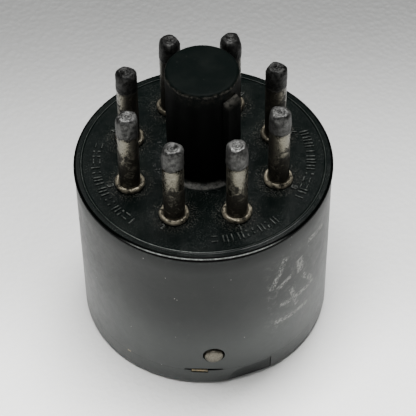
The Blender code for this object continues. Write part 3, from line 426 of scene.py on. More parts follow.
def pin_metal():
    """Tinned brass going dark and pitted towards the foot, with a lead-grey solder tip; painted light makes
    the camera side lighter and cleaner and the inner side darker.
    """
    g = Graph("pin_metal")
    tip_edge = g.plus(g.z, g.uneven(-0.55, 0.55, 1.3, 3, 0.6))
    solder = g.step(tip_edge, TIP_MM - 2.65, TIP_MM - 2.45)
    radius = g.radius()
    # painted light: the side towards the camera is painted lighter and cleaner, and the inner side towards
    # the post darker, as painted shade mixed into the dirt
    handling_and_lit_side = g.step(g.towards(CAMERA_AZIMUTH), -4.0, 6.0)
    shaded_inner_side = g.step(radius, 9.2, 8.3)
    blotches = g.noise(0.85, 5, 0.72, 0.5)
    low_part = g.step(g.z, 29.5, 24.0)
    grime_and_shade = g.plus(blotches, g.minus(g.times(low_part, 0.22), g.times(handling_and_lit_side, 0.07)))
    dirt_and_shade = g.step(grime_and_shade, 0.46, 0.60)
    dirt_and_shade = g.larger(dirt_and_shade, g.times(shaded_inner_side, g.step(blotches, 0.22, 0.48), 0.92))
    dirt_and_shade = g.larger(dirt_and_shade, g.times(g.step(g.z, 25.4, 24.2), g.step(blotches, 0.30, 0.46)))
    pits = g.step(g.cells(3.6), 0.20, 0.08)
    pits = g.times(pits, g.patches(0.40, 0.58, 1.0, 3))
    bright = g.mix(g.noise(1.7, 3, 0.6), (0.048, 0.045, 0.034), (0.170, 0.160, 0.128))
    dull = g.mix(g.patches(0.42, 0.68, 3.4, 5, 0.8), (0.0006, 0.0005, 0.0004), (0.0140, 0.0126, 0.0090))
    g.colour = g.mix(g.times(dirt_and_shade, 0.95), bright, dull)
    g.paint((0.010, 0.009, 0.007), pits, 0.8)
    # bright flecks on the dirt, kept to the camera side as painted glints
    flecks = g.times(g.patches(0.60, 0.68, 6.0, 4, 0.8), dirt_and_shade, handling_and_lit_side)
    g.paint((0.070, 0.064, 0.048), flecks, 0.8)
    collar = g.step(g.z, 23.0, 22.9)
    worn = g.patches(0.40, 0.54, 1.5, 5, 0.78, 0.4)
    # the collar's tan is painted brighter on the camera side, a painted highlight
    tan = g.mix(g.times(worn, g.spread(handling_and_lit_side, 0.45, 1.0)), (0.008, 0.007, 0.005), (0.135, 0.121, 0.090))
    g.paint(tan, collar)
    dirt_and_shade = g.times(dirt_and_shade, g.minus(1.0, collar))
    patches = g.patches(0.34, 0.66, 2.0, 5, 0.75, 0.4)
    # lit and shaded copies of the solder colour: lighter on the camera side, darker away from it
    lead = g.mix(patches, g.mix(handling_and_lit_side, (0.0022, 0.0022, 0.0021), (0.016, 0.016, 0.0155)),
                 g.mix(handling_and_lit_side, (0.020, 0.020, 0.019), (0.074, 0.074, 0.071)))
    # soot thicker away from the camera: partly soot, partly painted shade
    soot_and_shade = g.times(g.patches(0.47, 0.60, 2.8, 5, 0.8, 0.3), g.spread(handling_and_lit_side, 0.9, 0.25))
    g.paint(g.mix(soot_and_shade, lead, (0.0010, 0.0010, 0.0009)), solder)
    seam = g.times(g.band(tip_edge, TIP_MM - 2.68, TIP_MM - 2.52, 0.05), 0.8)
    g.paint((0.03, 0.03, 0.028), seam)

    g.roughness = g.blend(dirt_and_shade, g.uneven(0.16, 0.30, 3.0, 3), 0.52)
    g.polish(g.uneven(0.36, 0.58, 3.4, 4), solder)
    g.polish(g.blend(worn, 0.6, 0.36), collar)
    metallic = g.blend(collar, g.blend(g.times(dirt_and_shade, 0.8), 1.0, 0.2), 0.45)
    streaks = g.noise(2.2, 3, 0.6, 0.0, g.stretched(4.0, 4.0, 0.35))
    g.bump(streaks, 0.010, 0.5)
    g.bump(g.minus(g.noise(4.2, 4, 0.7), g.times(pits, 0.7)), 0.030, 0.8)
    g.bump(g.times(solder, g.noise(2.2, 5, 0.65)), 0.10, 0.8)
    return g.finish(metallic, Specular_IOR_Level=0.08)


def worn_nickel():
    """Tan-silver plated dome, speckled where the plating has gone."""
    g = Graph("worn_nickel")
    speckle = g.patches(0.44, 0.60, 6.0, 4, 0.75)
    tone = g.noise(1.6, 4, 0.6)
    g.colour = g.mix(tone, (0.085, 0.078, 0.060), (0.19, 0.175, 0.140))
    g.paint((0.030, 0.026, 0.019), speckle, 0.7)
    g.roughness = g.blend(speckle, 0.32, 0.55)
    g.bump(g.noise(8.0, 3, 0.7), 0.014, 0.8)
    return g.finish(0.75)


def metal(name, light, dark, polish, tarnish, streak=(1.0, 1.0, 1.0), handling_and_lit_side=None):
    """A plated or bare metal with tarnish clouds, fine marks and drawing streaks."""
    g = Graph(name)
    clouds = g.noise(0.6, 5, 0.65, 0.3)
    fine = g.noise(5.0, 3, 0.6, 0.0, g.stretched(*streak))
    g.colour = g.mix(g.times(g.step(clouds, 0.40, 0.75), tarnish), light, dark)
    if handling_and_lit_side:
        grimy = g.times(g.step(g.radius(), 13.2, 13.5), g.spread(g.patches(0.35, 0.6, 2.5, 4, 0.7), 0.6, 1.0))
        g.paint(handling_and_lit_side, grimy)
    g.roughness = g.spread(g.plus(g.times(clouds, 0.5), g.times(fine, 0.5)), *polish)
    g.bump(fine, 0.006, 0.7)
    g.bump(g.noise(1.8, 4, 0.6), 0.012, 0.5)
    return g.finish(1.0)


def moulded(name, light, dark, polish, weave=False):
    """A moulded or pressed insulator: mottled colour, satin surface, fine grain."""
    g = Graph(name)
    mottle = g.noise(1.4, 5, 0.7, 0.4)
    grain = g.noise(11.0, 3, 0.6)
    g.colour = g.mix(g.step(mottle, 0.30, 0.72), dark, light)
    if weave:
        threads = g.times(g.math("SINE", g.times(g.x, 22.0)),
                         g.math("SINE", g.times(g.z, 22.0)))
        g.paint(light, g.step(threads, 0.0, 0.9), 0.35)
        grain = g.plus(grain, g.times(threads, 0.3))
    g.roughness = g.spread(mottle, *polish)
    g.bump(grain, 0.008, 0.7)
    return g.finish()


def enamelled_copper():
    """Enamelled magnet wire: deep copper with lighter turns."""
    g = Graph("enamelled_copper")
    turns = g.noise(4.0, 3, 0.6, 0.0, g.stretched(0.15, 0.15, 2.0))
    g.colour = g.mix(turns, (0.23, 0.060, 0.016), (0.46, 0.165, 0.055))
    g.roughness = g.uneven(0.18, 0.34, 2.0, 3)
    g.bump(turns, 0.006, 0.6)
    return g.finish(0.75, Coat_Weight=0.35, Coat_Roughness=0.15)


def coil_paper():
    """Varnished insulating tape with a crinkled surface and an overlap."""
    g = Graph("coil_paper")
    crinkle = g.noise(3.2, 5, 0.7, 0.6)
    g.colour = g.mix(g.step(crinkle, 0.32, 0.70), (0.30, 0.20, 0.055), (0.52, 0.38, 0.13))
    overlap = g.band(g.math("ARCTAN2", g.plus(g.y, 3.6), g.x), -2.15, -2.05, 0.02)
    g.paint((0.16, 0.10, 0.03), overlap, 0.6)
    g.roughness = g.spread(crinkle, 0.32, 0.55)
    g.bump(crinkle, 0.03, 0.7)
    return g.finish()


def wire_jacket(name, light, dark):
    """Soft plastic insulation, slightly dusty."""
    g = Graph(name)
    dusty = g.noise(2.6, 5, 0.7)
    g.colour = g.mix(g.step(dusty, 0.35, 0.75), dark, light)
    g.roughness = g.spread(dusty, 0.38, 0.58)
    g.bump(g.noise(12.0, 2), 0.005, 0.6)
    return g.finish()


def table_top():
    """Plain floor with a fine grain; a painted light falloff makes it pale in front and darker behind, and a
    painted shadow darkens it beside the relay.
    """
    g = Graph("table_top")
    ahead = g.towards(CAMERA_AZIMUTH)
    # painted light falloff: the floor's colour runs from pale in front to dark behind
    paper = g.mix(g.step(ahead, 40.0, -56.0), (0.88, 0.88, 0.86), (0.046, 0.047, 0.045))
    # painted shadow: a soft darkening beside and behind the relay
    beside = g.times(g.step(g.radius(), 44.0, 15.0), g.step(ahead, 13.0, -5.0), 0.50)
    paper = g.mix(beside, paper, (0.24, 0.24, 0.235))
    g.colour = g.mix(g.times(g.noise(0.02, 3, 0.5), 0.1), paper, (0.62, 0.62, 0.61))
    grain = g.plus(g.cells(1.3), g.times(g.noise(3.0, 4, 0.7), 0.6))
    g.roughness = 0.55
    g.bump(grain, 0.09, 0.7)
    return g.finish()


# -------- mesh helpers


def linked(name, data):
    """A new object of the scene."""
    item = bpy.data.objects.new(name, data)
    bpy.context.scene.collection.objects.link(item)
    return item


def solid(name, form, turn=Matrix()):
    """The object made from a form, turned into its place."""
    mesh = bpy.data.meshes.new(name)
    form.to_mesh(mesh)
    form.free()
    mesh.transform(turn)
    return linked(name, mesh)


def skinned(name, form, rings):
    """The object whose skin joins rings of points, closed at both ends."""
    for lower, upper in zip(rings, rings[1:]):
        for side in range(len(lower)):
            after = (side + 1) % len(lower)
            form.faces.new((lower[side], lower[after], upper[after], upper[side]))
    form.faces.new(list(reversed(rings[0])))
    form.faces.new(rings[-1])
    bmesh.ops.recalc_face_normals(form, faces=form.faces)
    return solid(name, form)


def lathe(name, profile, sides=192, closed=False):
    """Spin (radius, height) points about Z; the profile runs down the outer side."""
    form = bmesh.new()
    rings = []
    for radius, height in profile:
        if radius < 1e-9:
            rings.append([form.verts.new((0.0, 0.0, height))])
            continue
        angles = [2.0 * math.pi * side / sides for side in range(sides)]
        rings.append([form.verts.new(outward(angle, radius, height)) for angle in angles])
    pairs = list(zip(rings, rings[1:]))
    if closed:
        pairs.append((rings[-1], rings[0]))
    for upper, lower in pairs:
        for side in range(sides):
            after = (side + 1) % sides
            if len(upper) == 1:
                form.faces.new((upper[0], lower[side], lower[after]))
            elif len(lower) == 1:
                form.faces.new((upper[side], lower[0], upper[after]))
            else:
                form.faces.new((upper[side], lower[side], lower[after], upper[after]))
    bmesh.ops.recalc_face_normals(form, faces=form.faces)
    return solid(name, form)


def rounded(corner_points, radius, steps=5):
    """Replace each inner corner of an open outline by an arc of the given radius."""
    result = [corner_points[0]]
    for before, corner, after in zip(corner_points, corner_points[1:], corner_points[2:]):
        here = Vector(corner)
        back, forth = Vector(before) - here, Vector(after) - here
        turn = back.angle(forth)
        reach = min(radius / math.tan(turn / 2), back.length * 0.49, forth.length * 0.49)
        start, end = here + back.normalized() * reach, here + forth.normalized() * reach
        for step in range(steps + 1):
            t = step / steps
            result.append(tuple(start * (1 - t) ** 2 + here * 2 * t * (1 - t) + end * t ** 2))
    result.append(corner_points[-1])
    return result


def peg(name, radius, start, end, sides):
    """A cylinder between two points."""
    form = bmesh.new()
    bmesh.ops.create_cone(form, cap_ends=True, segments=sides, radius1=radius, radius2=radius,
                          depth=(end - start).length)
    turn = (end - start).to_track_quat("Z", "Y").to_matrix().to_4x4()
    return solid(name, form, Matrix.Translation((start + end) / 2) @ turn)


def slab(name, outline, place, turn, half):
    """A flat outline extruded both ways from its plane."""
    form = bmesh.new()
    front = [form.verts.new((across, along, half)) for across, along in outline]
    rear = [form.verts.new((across, along, -half)) for across, along in outline]
    form.faces.new(front)
    form.faces.new(list(reversed(rear)))
    for index in range(len(outline)):
        after = (index + 1) % len(outline)
        form.faces.new((front[index], rear[index], rear[after], front[after]))
    bmesh.ops.recalc_face_normals(form, faces=form.faces)
    return solid(name, form, Matrix.Translation(place) @ turn.to_4x4())


def face_outward(azimuth):
    """Turn that takes an outline (around, up) to a plane facing out at an azimuth."""
    around = Vector((-math.sin(azimuth), math.cos(azimuth), 0.0))
    return Matrix((around, Vector((0, 0, 1)), outward(azimuth, 1.0))).transposed()


ALONG_X = Matrix(((0, 0, 1), (1, 0, 0), (0, 1, 0)))


def eased(item, width, segments, degrees):
    """Bevel the edges sharper than an angle."""
    modifier = item.modifiers.new("edge", "BEVEL")
    modifier.width = width
    modifier.segments = segments
    modifier.limit_method = "ANGLE"
    modifier.angle_limit = math.radians(degrees)
    return item


def shaped(item, steps):
    """Apply Booleans and remove the construction shapes."""
    for operation, tool in steps:
        modifier = item.modifiers.new(tool.name, "BOOLEAN")
        modifier.operation = operation
        modifier.object = tool
        modifier.solver = "EXACT"
    settle(item)
    for _, tool in steps:
        bpy.data.objects.remove(tool, do_unlink=True)
    return item


def settle(item):
    """Make the evaluated mesh the item's own mesh."""
    bpy.context.view_layer.update()
    depsgraph = bpy.context.evaluated_depsgraph_get()
    mesh = bpy.data.meshes.new_from_object(item.evaluated_get(depsgraph))
    item.modifiers.clear()
    item.data = mesh
    return item


def smooth(item, degrees):
    """Shade smooth, keeping edges sharper than this angle."""
    item.data.shade_smooth()
    item.data.set_sharp_from_angle(angle=math.radians(degrees))
    return item


def dress(item, material, body, slot, *nodes, bend=None):
    """Give a piece its material and attach it to its body, or with a bend only bake its place; hide the CAD
    nodes it stands for. The slot and the bend's points are not used.
    """
    item.data.materials.clear()
    item.data.materials.append(material)
    if bend:
        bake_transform(item)
    else:
        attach(item, body)
    if nodes:
        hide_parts(*nodes)
    return item


def tube(name, points, radius, sides, taper=0.0):
    """A round wire along smooth points, closed at both ends."""
    form = bmesh.new()
    rings = []
    across = None
    for index, point in enumerate(points):
        ahead = points[min(index + 1, len(points) - 1)] - points[max(index - 1, 0)]
        ahead.normalize()
        if across is None:
            across = ahead.orthogonal().normalized()
        across = (across - ahead * across.dot(ahead)).normalized()
        up = ahead.cross(across)
        size = radius * (1.0 - taper) if index in (0, len(points) - 1) else radius
        ring = []
        for side in range(sides):
            angle = 2.0 * math.pi * side / sides
            ring.append(form.verts.new(point + (across * math.cos(angle) + up * math.sin(angle)) * size))
        rings.append(ring)
    return skinned(name, form, rings)


def smooth_route(stations, spans):
    """Points on a smooth curve through the stations (Catmull-Rom)."""
    ends = [stations[0]] + list(stations) + [stations[-1]]
    points = []
    for index in range(len(stations) - 1):
        before, start, finish, after = (Vector(ends[index + step]) for step in range(4))
        for step in range(spans):
            t = step / spans
            points.append(0.5 * (2 * start + (finish - before) * t
                                 + (2 * before - 5 * start + 4 * finish - after) * t ** 2
                                 + (3 * start - before - 3 * finish + after) * t ** 3))
    points.append(Vector(stations[-1]))
    return points


# -------- base, guide post and marks


def make_base(material):
    """The base moulding with a scribed line round its face, the post and the post's key."""
    spigot = COVER_INSIDE - 0.0001
    foot = BASE_LOW.z
    line = 0.01338
    outer = [(0.0, POST_TOP), (POST_RADIUS * 0.5, POST_TOP)]
    outer += rounded([(POST_RADIUS * 0.7, POST_TOP), (POST_RADIUS, POST_TOP),
                      (POST_RADIUS, POST_TOP - 0.002)], 0.00042, 8)
    outer += [(POST_RADIUS, POST_TOP - 0.0045), (POST_RADIUS, FACE_Z + 0.0045)]
    outer += rounded([(POST_RADIUS, FACE_Z + 0.002), (POST_RADIUS, FACE_Z), (POST_RADIUS + 0.002, FACE_Z)],
                     0.00048, 7)
    outer += [(0.0068, FACE_Z), (0.0088, FACE_Z), (0.0108, FACE_Z), (line - 0.0004, FACE_Z)]
    ridge = millimetres((-0.12, 0.0), (-0.05, -0.06), (-0.01, -0.06), (0.03, 0.04), (0.07, 0.06),
                        (0.12, 0.04), (0.18, 0.0))
    outer += [(line + aside, FACE_Z + rise) for aside, rise in ridge]
    outer += rounded([(line + 0.0003, FACE_Z), (FLANGE_RADIUS, FACE_Z), (FLANGE_RADIUS, FLANGE_LOW)],
                     0.00030, 9)
    outer[-1] = (FLANGE_RADIUS, FLANGE_LOW + 0.00012)
    outer += [(FLANGE_RADIUS - 0.00004, FLANGE_LOW + 0.00003), (FLANGE_RADIUS - 0.00013, FLANGE_LOW)]
    outer += [(spigot, FLANGE_LOW), (spigot, foot + 0.0003), (spigot - 0.0003, foot), (spigot - 0.0013, foot),
              (spigot - 0.0013, FACE_Z - 0.0025), (0.0, FACE_Z - 0.0025)]
    base = lathe("base_moulding", outer, 240)
    key_top = POST_TOP - 0.0015
    key_outline = [(-POST_RADIUS + 0.001, FACE_Z - 0.0008), (-KEY_REACH, FACE_Z - 0.0008)]
    nose = millimetres((0.0, 0.8), (0.08, 0.5), (0.3, 0.2), (0.6, 0.03))
    key_outline += [(-KEY_REACH + back, key_top - drop) for back, drop in nose]
    key_outline += [(-POST_RADIUS + 0.001, key_top)]
    key = slab("key_form", key_outline, (0, 0, 0), ALONG_X, KEY_WIDTH / 2)
    steps = [("UNION", settle(eased(key, 0.00018, 3, 50)))]
    for number in range(1, PIN_COUNT + 1):
        place = outward(pin_azimuth(number), PIN_CIRCLE_RADIUS, FACE_Z)
        bore = peg("bore_%d" % number, PIN_RADIUS + 0.00004, place - Vector((0, 0, 0.005)),
                   place + Vector((0, 0, 0.002)), 48)
        steps.append(("DIFFERENCE", bore))
    shaped(base, steps)
    dress(smooth(base, 40), material, HOUSING, "header_base", "header_base")


def digit(text, size, place, turn, depth):
    """A generic moulded numeral, standing slightly proud of the face."""
    curve = bpy.data.curves.new("numeral", "FONT")
    curve.body = text
    curve.size = size
    curve.align_x = "CENTER"
    curve.align_y = "CENTER"
    curve.extrude = depth
    curve.bevel_depth = 0.00002
    item = linked("numeral", curve)
    item.matrix_world = Matrix.Translation(place) @ Matrix.Rotation(turn, 4, "Z")
    bpy.context.view_layer.update()
    mesh = bpy.data.meshes.new_from_object(item.evaluated_get(bpy.context.evaluated_depsgraph_get()))
    mesh.transform(item.matrix_world)
    bpy.data.objects.remove(item, do_unlink=True)
    return mesh


def raised(form, centre, turn, length, width, height):
    """One raised bar with sloping flanks: length along the radius, width around it."""
    corners = bmesh.ops.create_cube(form, size=1.0)["verts"]
    for corner in corners:
        if corner.co.z > 0:
            corner.co.x *= 1.0 - 0.4 * width / length
            corner.co.y *= 0.5
    bmesh.ops.scale(form, vec=(length, width, 2 * height), verts=corners)
    bmesh.ops.rotate(form, cent=(0, 0, 0), matrix=Matrix.Rotation(turn, 3, "Z"), verts=corners)
    bmesh.ops.translate(form, vec=centre, verts=corners)


def make_marks(material):
    """Moulded pin numbers, and three arcs of plain raised bars and pips outside them."""
    form = bmesh.new()
    chance = random.Random(5)
    for number in range(1, PIN_COUNT + 1):
        azimuth = pin_azimuth(number) - math.radians(3.0)
        place = outward(azimuth, 0.01082, FACE_Z + 0.00002)
        mesh = digit(str(number), 0.00100, place, azimuth + math.pi / 2, 0.00009)
        form.from_mesh(mesh)
        bpy.data.meshes.remove(mesh)
    height = 0.00014
    for first, last in ((123.0, 186.0), (-131.0, -96.0), (-76.0, -26.0)):
        azimuth = first
        while azimuth < last:
            here = math.radians(azimuth)
            kind = chance.randrange(5)
            if kind in (0, 1):
                raised(form, outward(here, 0.01183, FACE_Z), here, 0.00105, 0.00024, height)
            if kind == 1:
                beside = here + math.radians(2.1)
                raised(form, outward(beside, 0.01183, FACE_Z), beside, 0.00105, 0.00024, height)
            if kind in (2, 3):
                inner_radius = 0.01152 if kind == 2 else 0.01214
                raised(form, outward(here, inner_radius, FACE_Z), here, 0.00044, 0.00026, height)
                raised(form, outward(here, 0.0236 - inner_radius, FACE_Z), here, 0.0003, 0.0003, height)
            if kind == 4:
                raised(form, outward(here, 0.01135, FACE_Z), here + math.pi / 2, 0.00074, 0.00022, height)
                raised(form, outward(here, 0.01205, FACE_Z), here + math.pi / 2, 0.00074, 0.00022, height)
            azimuth += 4.6 if kind in (1, 4) else 3.6
    dress(smooth(solid("moulded_marks", form), 25), material, HOUSING, "header_base")


# -------- pins


def pin_profile():
    """Shank with its staked collar below and the rolled, soldered end above, from the top down."""
    top = PIN_TOP - 0.00003
    rolled = millimetres((0.0, 0.20), (0.10, 0.19), (0.18, 0.11), (0.26, 0.04), (0.34, 0.03), (0.42, 0.09),
                         (0.48, 0.10), (0.55, 0.03), (0.64, 0.0), (0.72, 0.03))
    profile = [(radius, top - drop) for radius, drop in rolled]
    shoulder = 0.00046
    for step in range(1, 10):
        angle = math.pi / 2 * step / 9
        profile.append((0.00072 + shoulder * math.sin(angle), top - 0.00003 - 0.0006 * (1 - math.cos(angle))))
    rows = 9
    for step in range(1, rows):
        profile.append((0.00118 + 0.00001 * step / rows, top - 0.00063 - 0.00185 * step / rows))
    profile += [(0.00119, top - 0.00250), (0.00118, top - 0.00256)]
    rows = 26
    shank_low = FACE_Z + 0.00055
    for step in range(1, rows):
        profile.append((0.001155, top - 0.00258 + (shank_low - top + 0.00258) * step / rows))
    profile += [(0.00115, FACE_Z + 0.00048), (0.00115, FACE_Z + 0.00040)]
    collar = 0.00024
    middle = COLLAR_RADIUS - collar + 0.00004
    for step in range(12):
        angle = math.radians(150.0) - math.radians(205.0) * step / 11
        profile.append((middle + collar * math.cos(angle), FACE_Z + 0.00029 + 0.00033 * math.sin(angle)))
    profile += [(COLLAR_RADIUS - 0.00008, FACE_Z - 0.00002), (PIN_RADIUS, FACE_Z - 0.00003),
                (PIN_RADIUS, PIN_LOW + 0.0002), (PIN_RADIUS - 0.00012, PIN_LOW), (0.00075, PIN_LOW),
                (0.00075, PIN_TOP - 0.003), (0.0, PIN_TOP - 0.0026)]
    return profile


def make_pin(number, material):
    """One pin, its tip and collar made uneven the way hand soldering and staking leave them."""
    pin = lathe("pin_%d" % number, pin_profile(), 64)
    place = outward(pin_azimuth(number), PIN_CIRCLE_RADIUS)
    shift = Vector((number * 7.3, number * 3.1, number * 5.7))
    chance = random.Random(number * 17 + 3)
    lean = Vector((chance.uniform(-1, 1), chance.uniform(-1, 1), 0.0)) * 0.00006
    solder_low = PIN_TOP - 0.0028
    flats = []
    for facet in range(3):
        turn = CAMERA_AZIMUTH + chance.uniform(-1.0, 1.0) + facet * 2.1
        tilt = math.radians(chance.uniform(14.0, 24.0))
        normal = outward(turn, math.cos(tilt), math.sin(tilt))
        flats.append((normal, normal.dot(Vector((0, 0, PIN_TOP - 0.0012))) + 0.00110))
    hole = outward(CAMERA_AZIMUTH + math.pi / 2 + 0.5, 0.00036) if number == 2 else None
    for vertex in pin.data.vertices:
        here = vertex.co
        radial = Vector((here.x, here.y, 0.0))
        reach = radial.length
        if here.z < FACE_Z + 0.00006 or (reach < 0.0008 and here.z < PIN_TOP - 0.001):
            continue
        tip = max(0.0, min(1.0, (here.z - solder_low) / 0.0004))
        collar = 1.0 if here.z < FACE_Z + 0.0006 and reach > 0.00121 else 0.0
        rough = noise.noise(here * 800.0 + shift)
        fine = noise.noise(here * 2400.0 + shift)
        amount = 0.000010 + 0.000030 * tip + 0.000095 * collar
        if reach > 1e-6:
            here += radial / reach * (rough + fine * 0.5) * amount
        here.z += (rough * 0.7 + fine * 0.5) * (0.00005 * tip + 0.00009 * collar)
        share = max(0.0, (here.z - (PIN_TOP - 0.0024)) / 0.0024)
        here += lean * share * share
        for normal, reached in flats:
            over = here.dot(normal) - reached
            if tip > 0.5 and over > 0:
                here -= normal * over * 0.55
        if hole is not None and here.z > PIN_TOP - 0.0009:
            gap = (Vector((here.x, here.y, 0.0)) - hole).length
            here.z -= 0.00050 * math.exp(-(gap / 0.00015) ** 2)
        here.z = min(here.z, PIN_TOP)
    pin.data.transform(Matrix.Translation(place))
    node = "contact_pin_%d" % number
    dress(smooth(pin, 60), material, HOUSING, node, node)


# -------- cover, cap and catches


def make_cover(material):
    """The sleeve, with its catch holes and the slit where it has parted from the cap."""
    inner = COVER_INSIDE
    top, low = SLEEVE_TOP, CAP_HIGH + 0.000006
    profile = [(COVER_RADIUS - 0.00015, top), (COVER_RADIUS - 0.00004, top - 0.00004),
               (COVER_RADIUS, top - 0.00015)]
    rows = 10
    for step in range(1, rows):
        profile.append((COVER_RADIUS, top - 0.0003 + (low - top + 0.0006) * step / rows))
    profile += [(COVER_RADIUS, low + 0.00001), (COVER_RADIUS - 0.00001, low), (inner + 0.0001, low),
                (inner, low + 0.0001), (inner, top - 0.0001), (inner + 0.0001, top)]
    cover = lathe("cover_sleeve", profile, 240, closed=True)
    steps = []
    for side, azimuth in CATCH_AZIMUTHS.items():
        ends = (outward(azimuth, reach, HOLE_Z) for reach in (inner - 0.001, COVER_RADIUS + 0.001))
        steps.append(("DIFFERENCE", peg("hole_" + side, HOLE_RADIUS, *ends, 72)))
    slit = CATCH_AZIMUTHS["front"] - math.radians(4.7)
    outline = [(-0.00222, -0.0006), (0.00218, -0.0006), (0.00222, 0.00006)]
    for step in range(13):
        t = 1.0 - step / 12
        wobble = noise.noise(Vector((t * 5.0, 2.7, 0.4))) * 0.00006
        lift = 0.00036 * math.sin(math.pi * (0.10 + 0.84 * t)) ** 0.6
        outline.append((-0.0021 + 0.0042 * t, lift + wobble))
    outline.append((-0.00222, 0.00004))
    steps.append(("DIFFERENCE", slab("slit_form", outline, outward(slit, COVER_RADIUS - 0.0005, low),
                                     face_outward(slit), 0.0011)))
    shaped(cover, steps)
    dress(smooth(cover, 20), material, HOUSING, "cover_shell", "cover_shell")


def make_cap(material):
    """The end cap: band, pry notch, slot for the plate's tab, and a dished underside."""
    inner = COVER_INSIDE
    profile = millimetres((0.0, 1.2), (12.2, 1.2), (12.2, 1.9))
    profile += [(inner, 0.0019), (inner, CAP_HIGH - 0.00008), (inner + 0.00008, CAP_HIGH),
                (COVER_RADIUS - 0.00001, CAP_HIGH), (COVER_RADIUS, CAP_HIGH - 0.00001),
                (COVER_RADIUS, 0.0014)]
    profile += rounded([(COVER_RADIUS, 0.0012), (COVER_RADIUS, 0.0), (COVER_RADIUS - 0.0014, 0.0)], 0.0005, 9)
    profile += rounded(millimetres((12.4, 0.0), (11.8, 0.0), (11.5, 0.3), (11.0, 0.3)), 0.00012, 3)
    profile += millimetres((5.2, 0.3), (5.0, 0.42), (0.0, 0.42))
    cap = lathe("cap_moulding", profile, 240)
    notch = CATCH_AZIMUTHS["front"] + math.radians(16.6)
    outline = millimetres((-2.7, -0.5), (2.76, -0.5), (2.76, 2.22), (0.3, 2.22), (-0.7, 2.15), (-1.4, 1.95),
                          (-1.9, 1.6), (-2.3, 1.0), (-2.6, 0.3))
    tab = CATCH_AZIMUTHS["front"] - math.radians(6.6)
    slot_outline = [(-0.00096, PLATE_LOW + 0.00012), (0.00096, PLATE_LOW + 0.00008), (0.00096, 0.003),
                    (-0.00096, 0.003)]
    steps = [
        ("DIFFERENCE", slab("notch_form", outline, outward(notch, COVER_RADIUS + 0.00048),
                            face_outward(notch), 0.0009)),
        ("DIFFERENCE", slab("tab_form", slot_outline, outward(tab, COVER_RADIUS - 0.0005),
                            face_outward(tab), 0.001)),
    ]
    for index in range(3):
        azimuth = math.radians(30.0 + 120.0 * index)
        steps.append(("DIFFERENCE", peg("ejector_%d" % index, 0.0009, outward(azimuth, 0.0085, -0.001),
                                        outward(azimuth, 0.0085, 0.00038), 40)))
    shaped(cap, steps)
    dress(smooth(cap, 20), material, HOUSING, "end_cap", "end_cap")


def make_button(side, azimuth, material):
    """Domed catch button with a rolled shoulder, a shank and a clinched tail."""
    reach = 0.01460
    head = 0.00105
    profile = [(0.0, reach)]
    for step in range(1, 15):
        angle = math.pi / 2 * step / 14
        profile.append((head * math.sin(angle), reach - 0.00060 * (1 - math.cos(angle) ** 0.8)))
    profile += [(head, 0.0126), (head - 0.00005, 0.01255)]
    profile += millimetres((0.5, 12.55), (0.5, 12.1), (0.66, 12.1), (0.7, 12.04), (0.7, 11.76), (0.6, 11.7),
                           (0.0, 11.7))
    button = lathe("button_" + side, profile, 64)
    for vertex in button.data.vertices:
        vertex.co.z += noise.noise(vertex.co * 1500.0 + Vector((azimuth, 0, 0))) * 0.00002
    turn = outward(azimuth, 1.0).to_track_quat("Z", "Y").to_matrix().to_4x4()
    button.data.transform(Matrix.Translation((0, 0, CATCH_Z - 0.00005)) @ turn)
    node = "catch_button_" + side
    dress(smooth(button, 45), material, side + "_catch", node, node)


def make_leaf(side, azimuth, material):
    """Brass leaf with a bent foot and a hole for the button; on the real relay it bends above the foot when
    its button is pressed.
    """
    node = "catch_leaf_" + side
    low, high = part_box(node)
    thick = 0.00025
    middle, curl = 0.0122 + thick / 2, 0.0004
    foot = low.z + thick / 2 + 0.00002
    stations = [(0.0097, foot), (0.0104, foot), (0.0111, foot)]
    for step in range(9):
        angle = math.pi / 2 * step / 8
        stations.append((middle - curl + curl * math.sin(angle), foot + curl - curl * math.cos(angle)))
    rise = high.z - 0.00002 - foot - curl
    rows = 22
    stations += [(middle, foot + curl + rise * step / rows) for step in range(1, rows + 1)]
    form = bmesh.new()
    rings = []
    for index, (reach, height) in enumerate(stations):
        before, after = stations[max(index - 1, 0)], stations[min(index + 1, len(stations) - 1)]
        along = Vector((after[0] - before[0], after[1] - before[1])).normalized()
        across = Vector((along.y, -along.x)) * thick / 2
        half = 0.00155 - max(0.0, height - (high.z - 0.0004)) * 1.5
        ring = []
        for side_sign, face in ((-1, 1), (1, 1), (1, -1), (-1, -1)):
            ring.append(form.verts.new((side_sign * half, height + across.y * face, reach + across.x * face)))
        rings.append(ring)
    leaf = skinned("leaf_" + side, form, rings)
    leaf.data.transform(face_outward(azimuth).to_4x4())
    hole = peg("leaf_hole_" + side, 0.0006, outward(azimuth, 0.011, CATCH_Z),
               outward(azimuth, 0.014, CATCH_Z), 40)
    shaped(leaf, [("DIFFERENCE", hole)])
    bend = (side + "_catch", outward(azimuth, middle, 0.0031), outward(azimuth, middle, 0.0043))
    dress(smooth(leaf, 40), material, HOUSING, node, node, bend=bend)


# -------- inner pieces


def make_winding(material):
    """Layer of round wire turns between the bobbin's flanges."""
    low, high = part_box("coil_winding")
    centre = (low + high) / 2
    outer = (high.x - low.x) / 2
    inner = 0.0027
    turns = 46
    pitch = (high.z - low.z) / turns
    profile = []
    for turn in range(turns):
        for share in (0.08, 0.3, 0.5, 0.7, 0.92):
            drop = 0.00007 * (1 - math.sin(math.pi * share))
            profile.append((outer - drop, high.z - (turn + share) * pitch))
    profile += [(inner, low.z + 0.0001), (inner, high.z - 0.0001)]
    winding = lathe("wire_turns", profile, 72, closed=True)
    winding.data.transform(Matrix.Translation((centre.x, centre.y, 0.0)))
    dress(smooth(winding, 80), material, HOUSING, "coil_winding", "coil_winding")


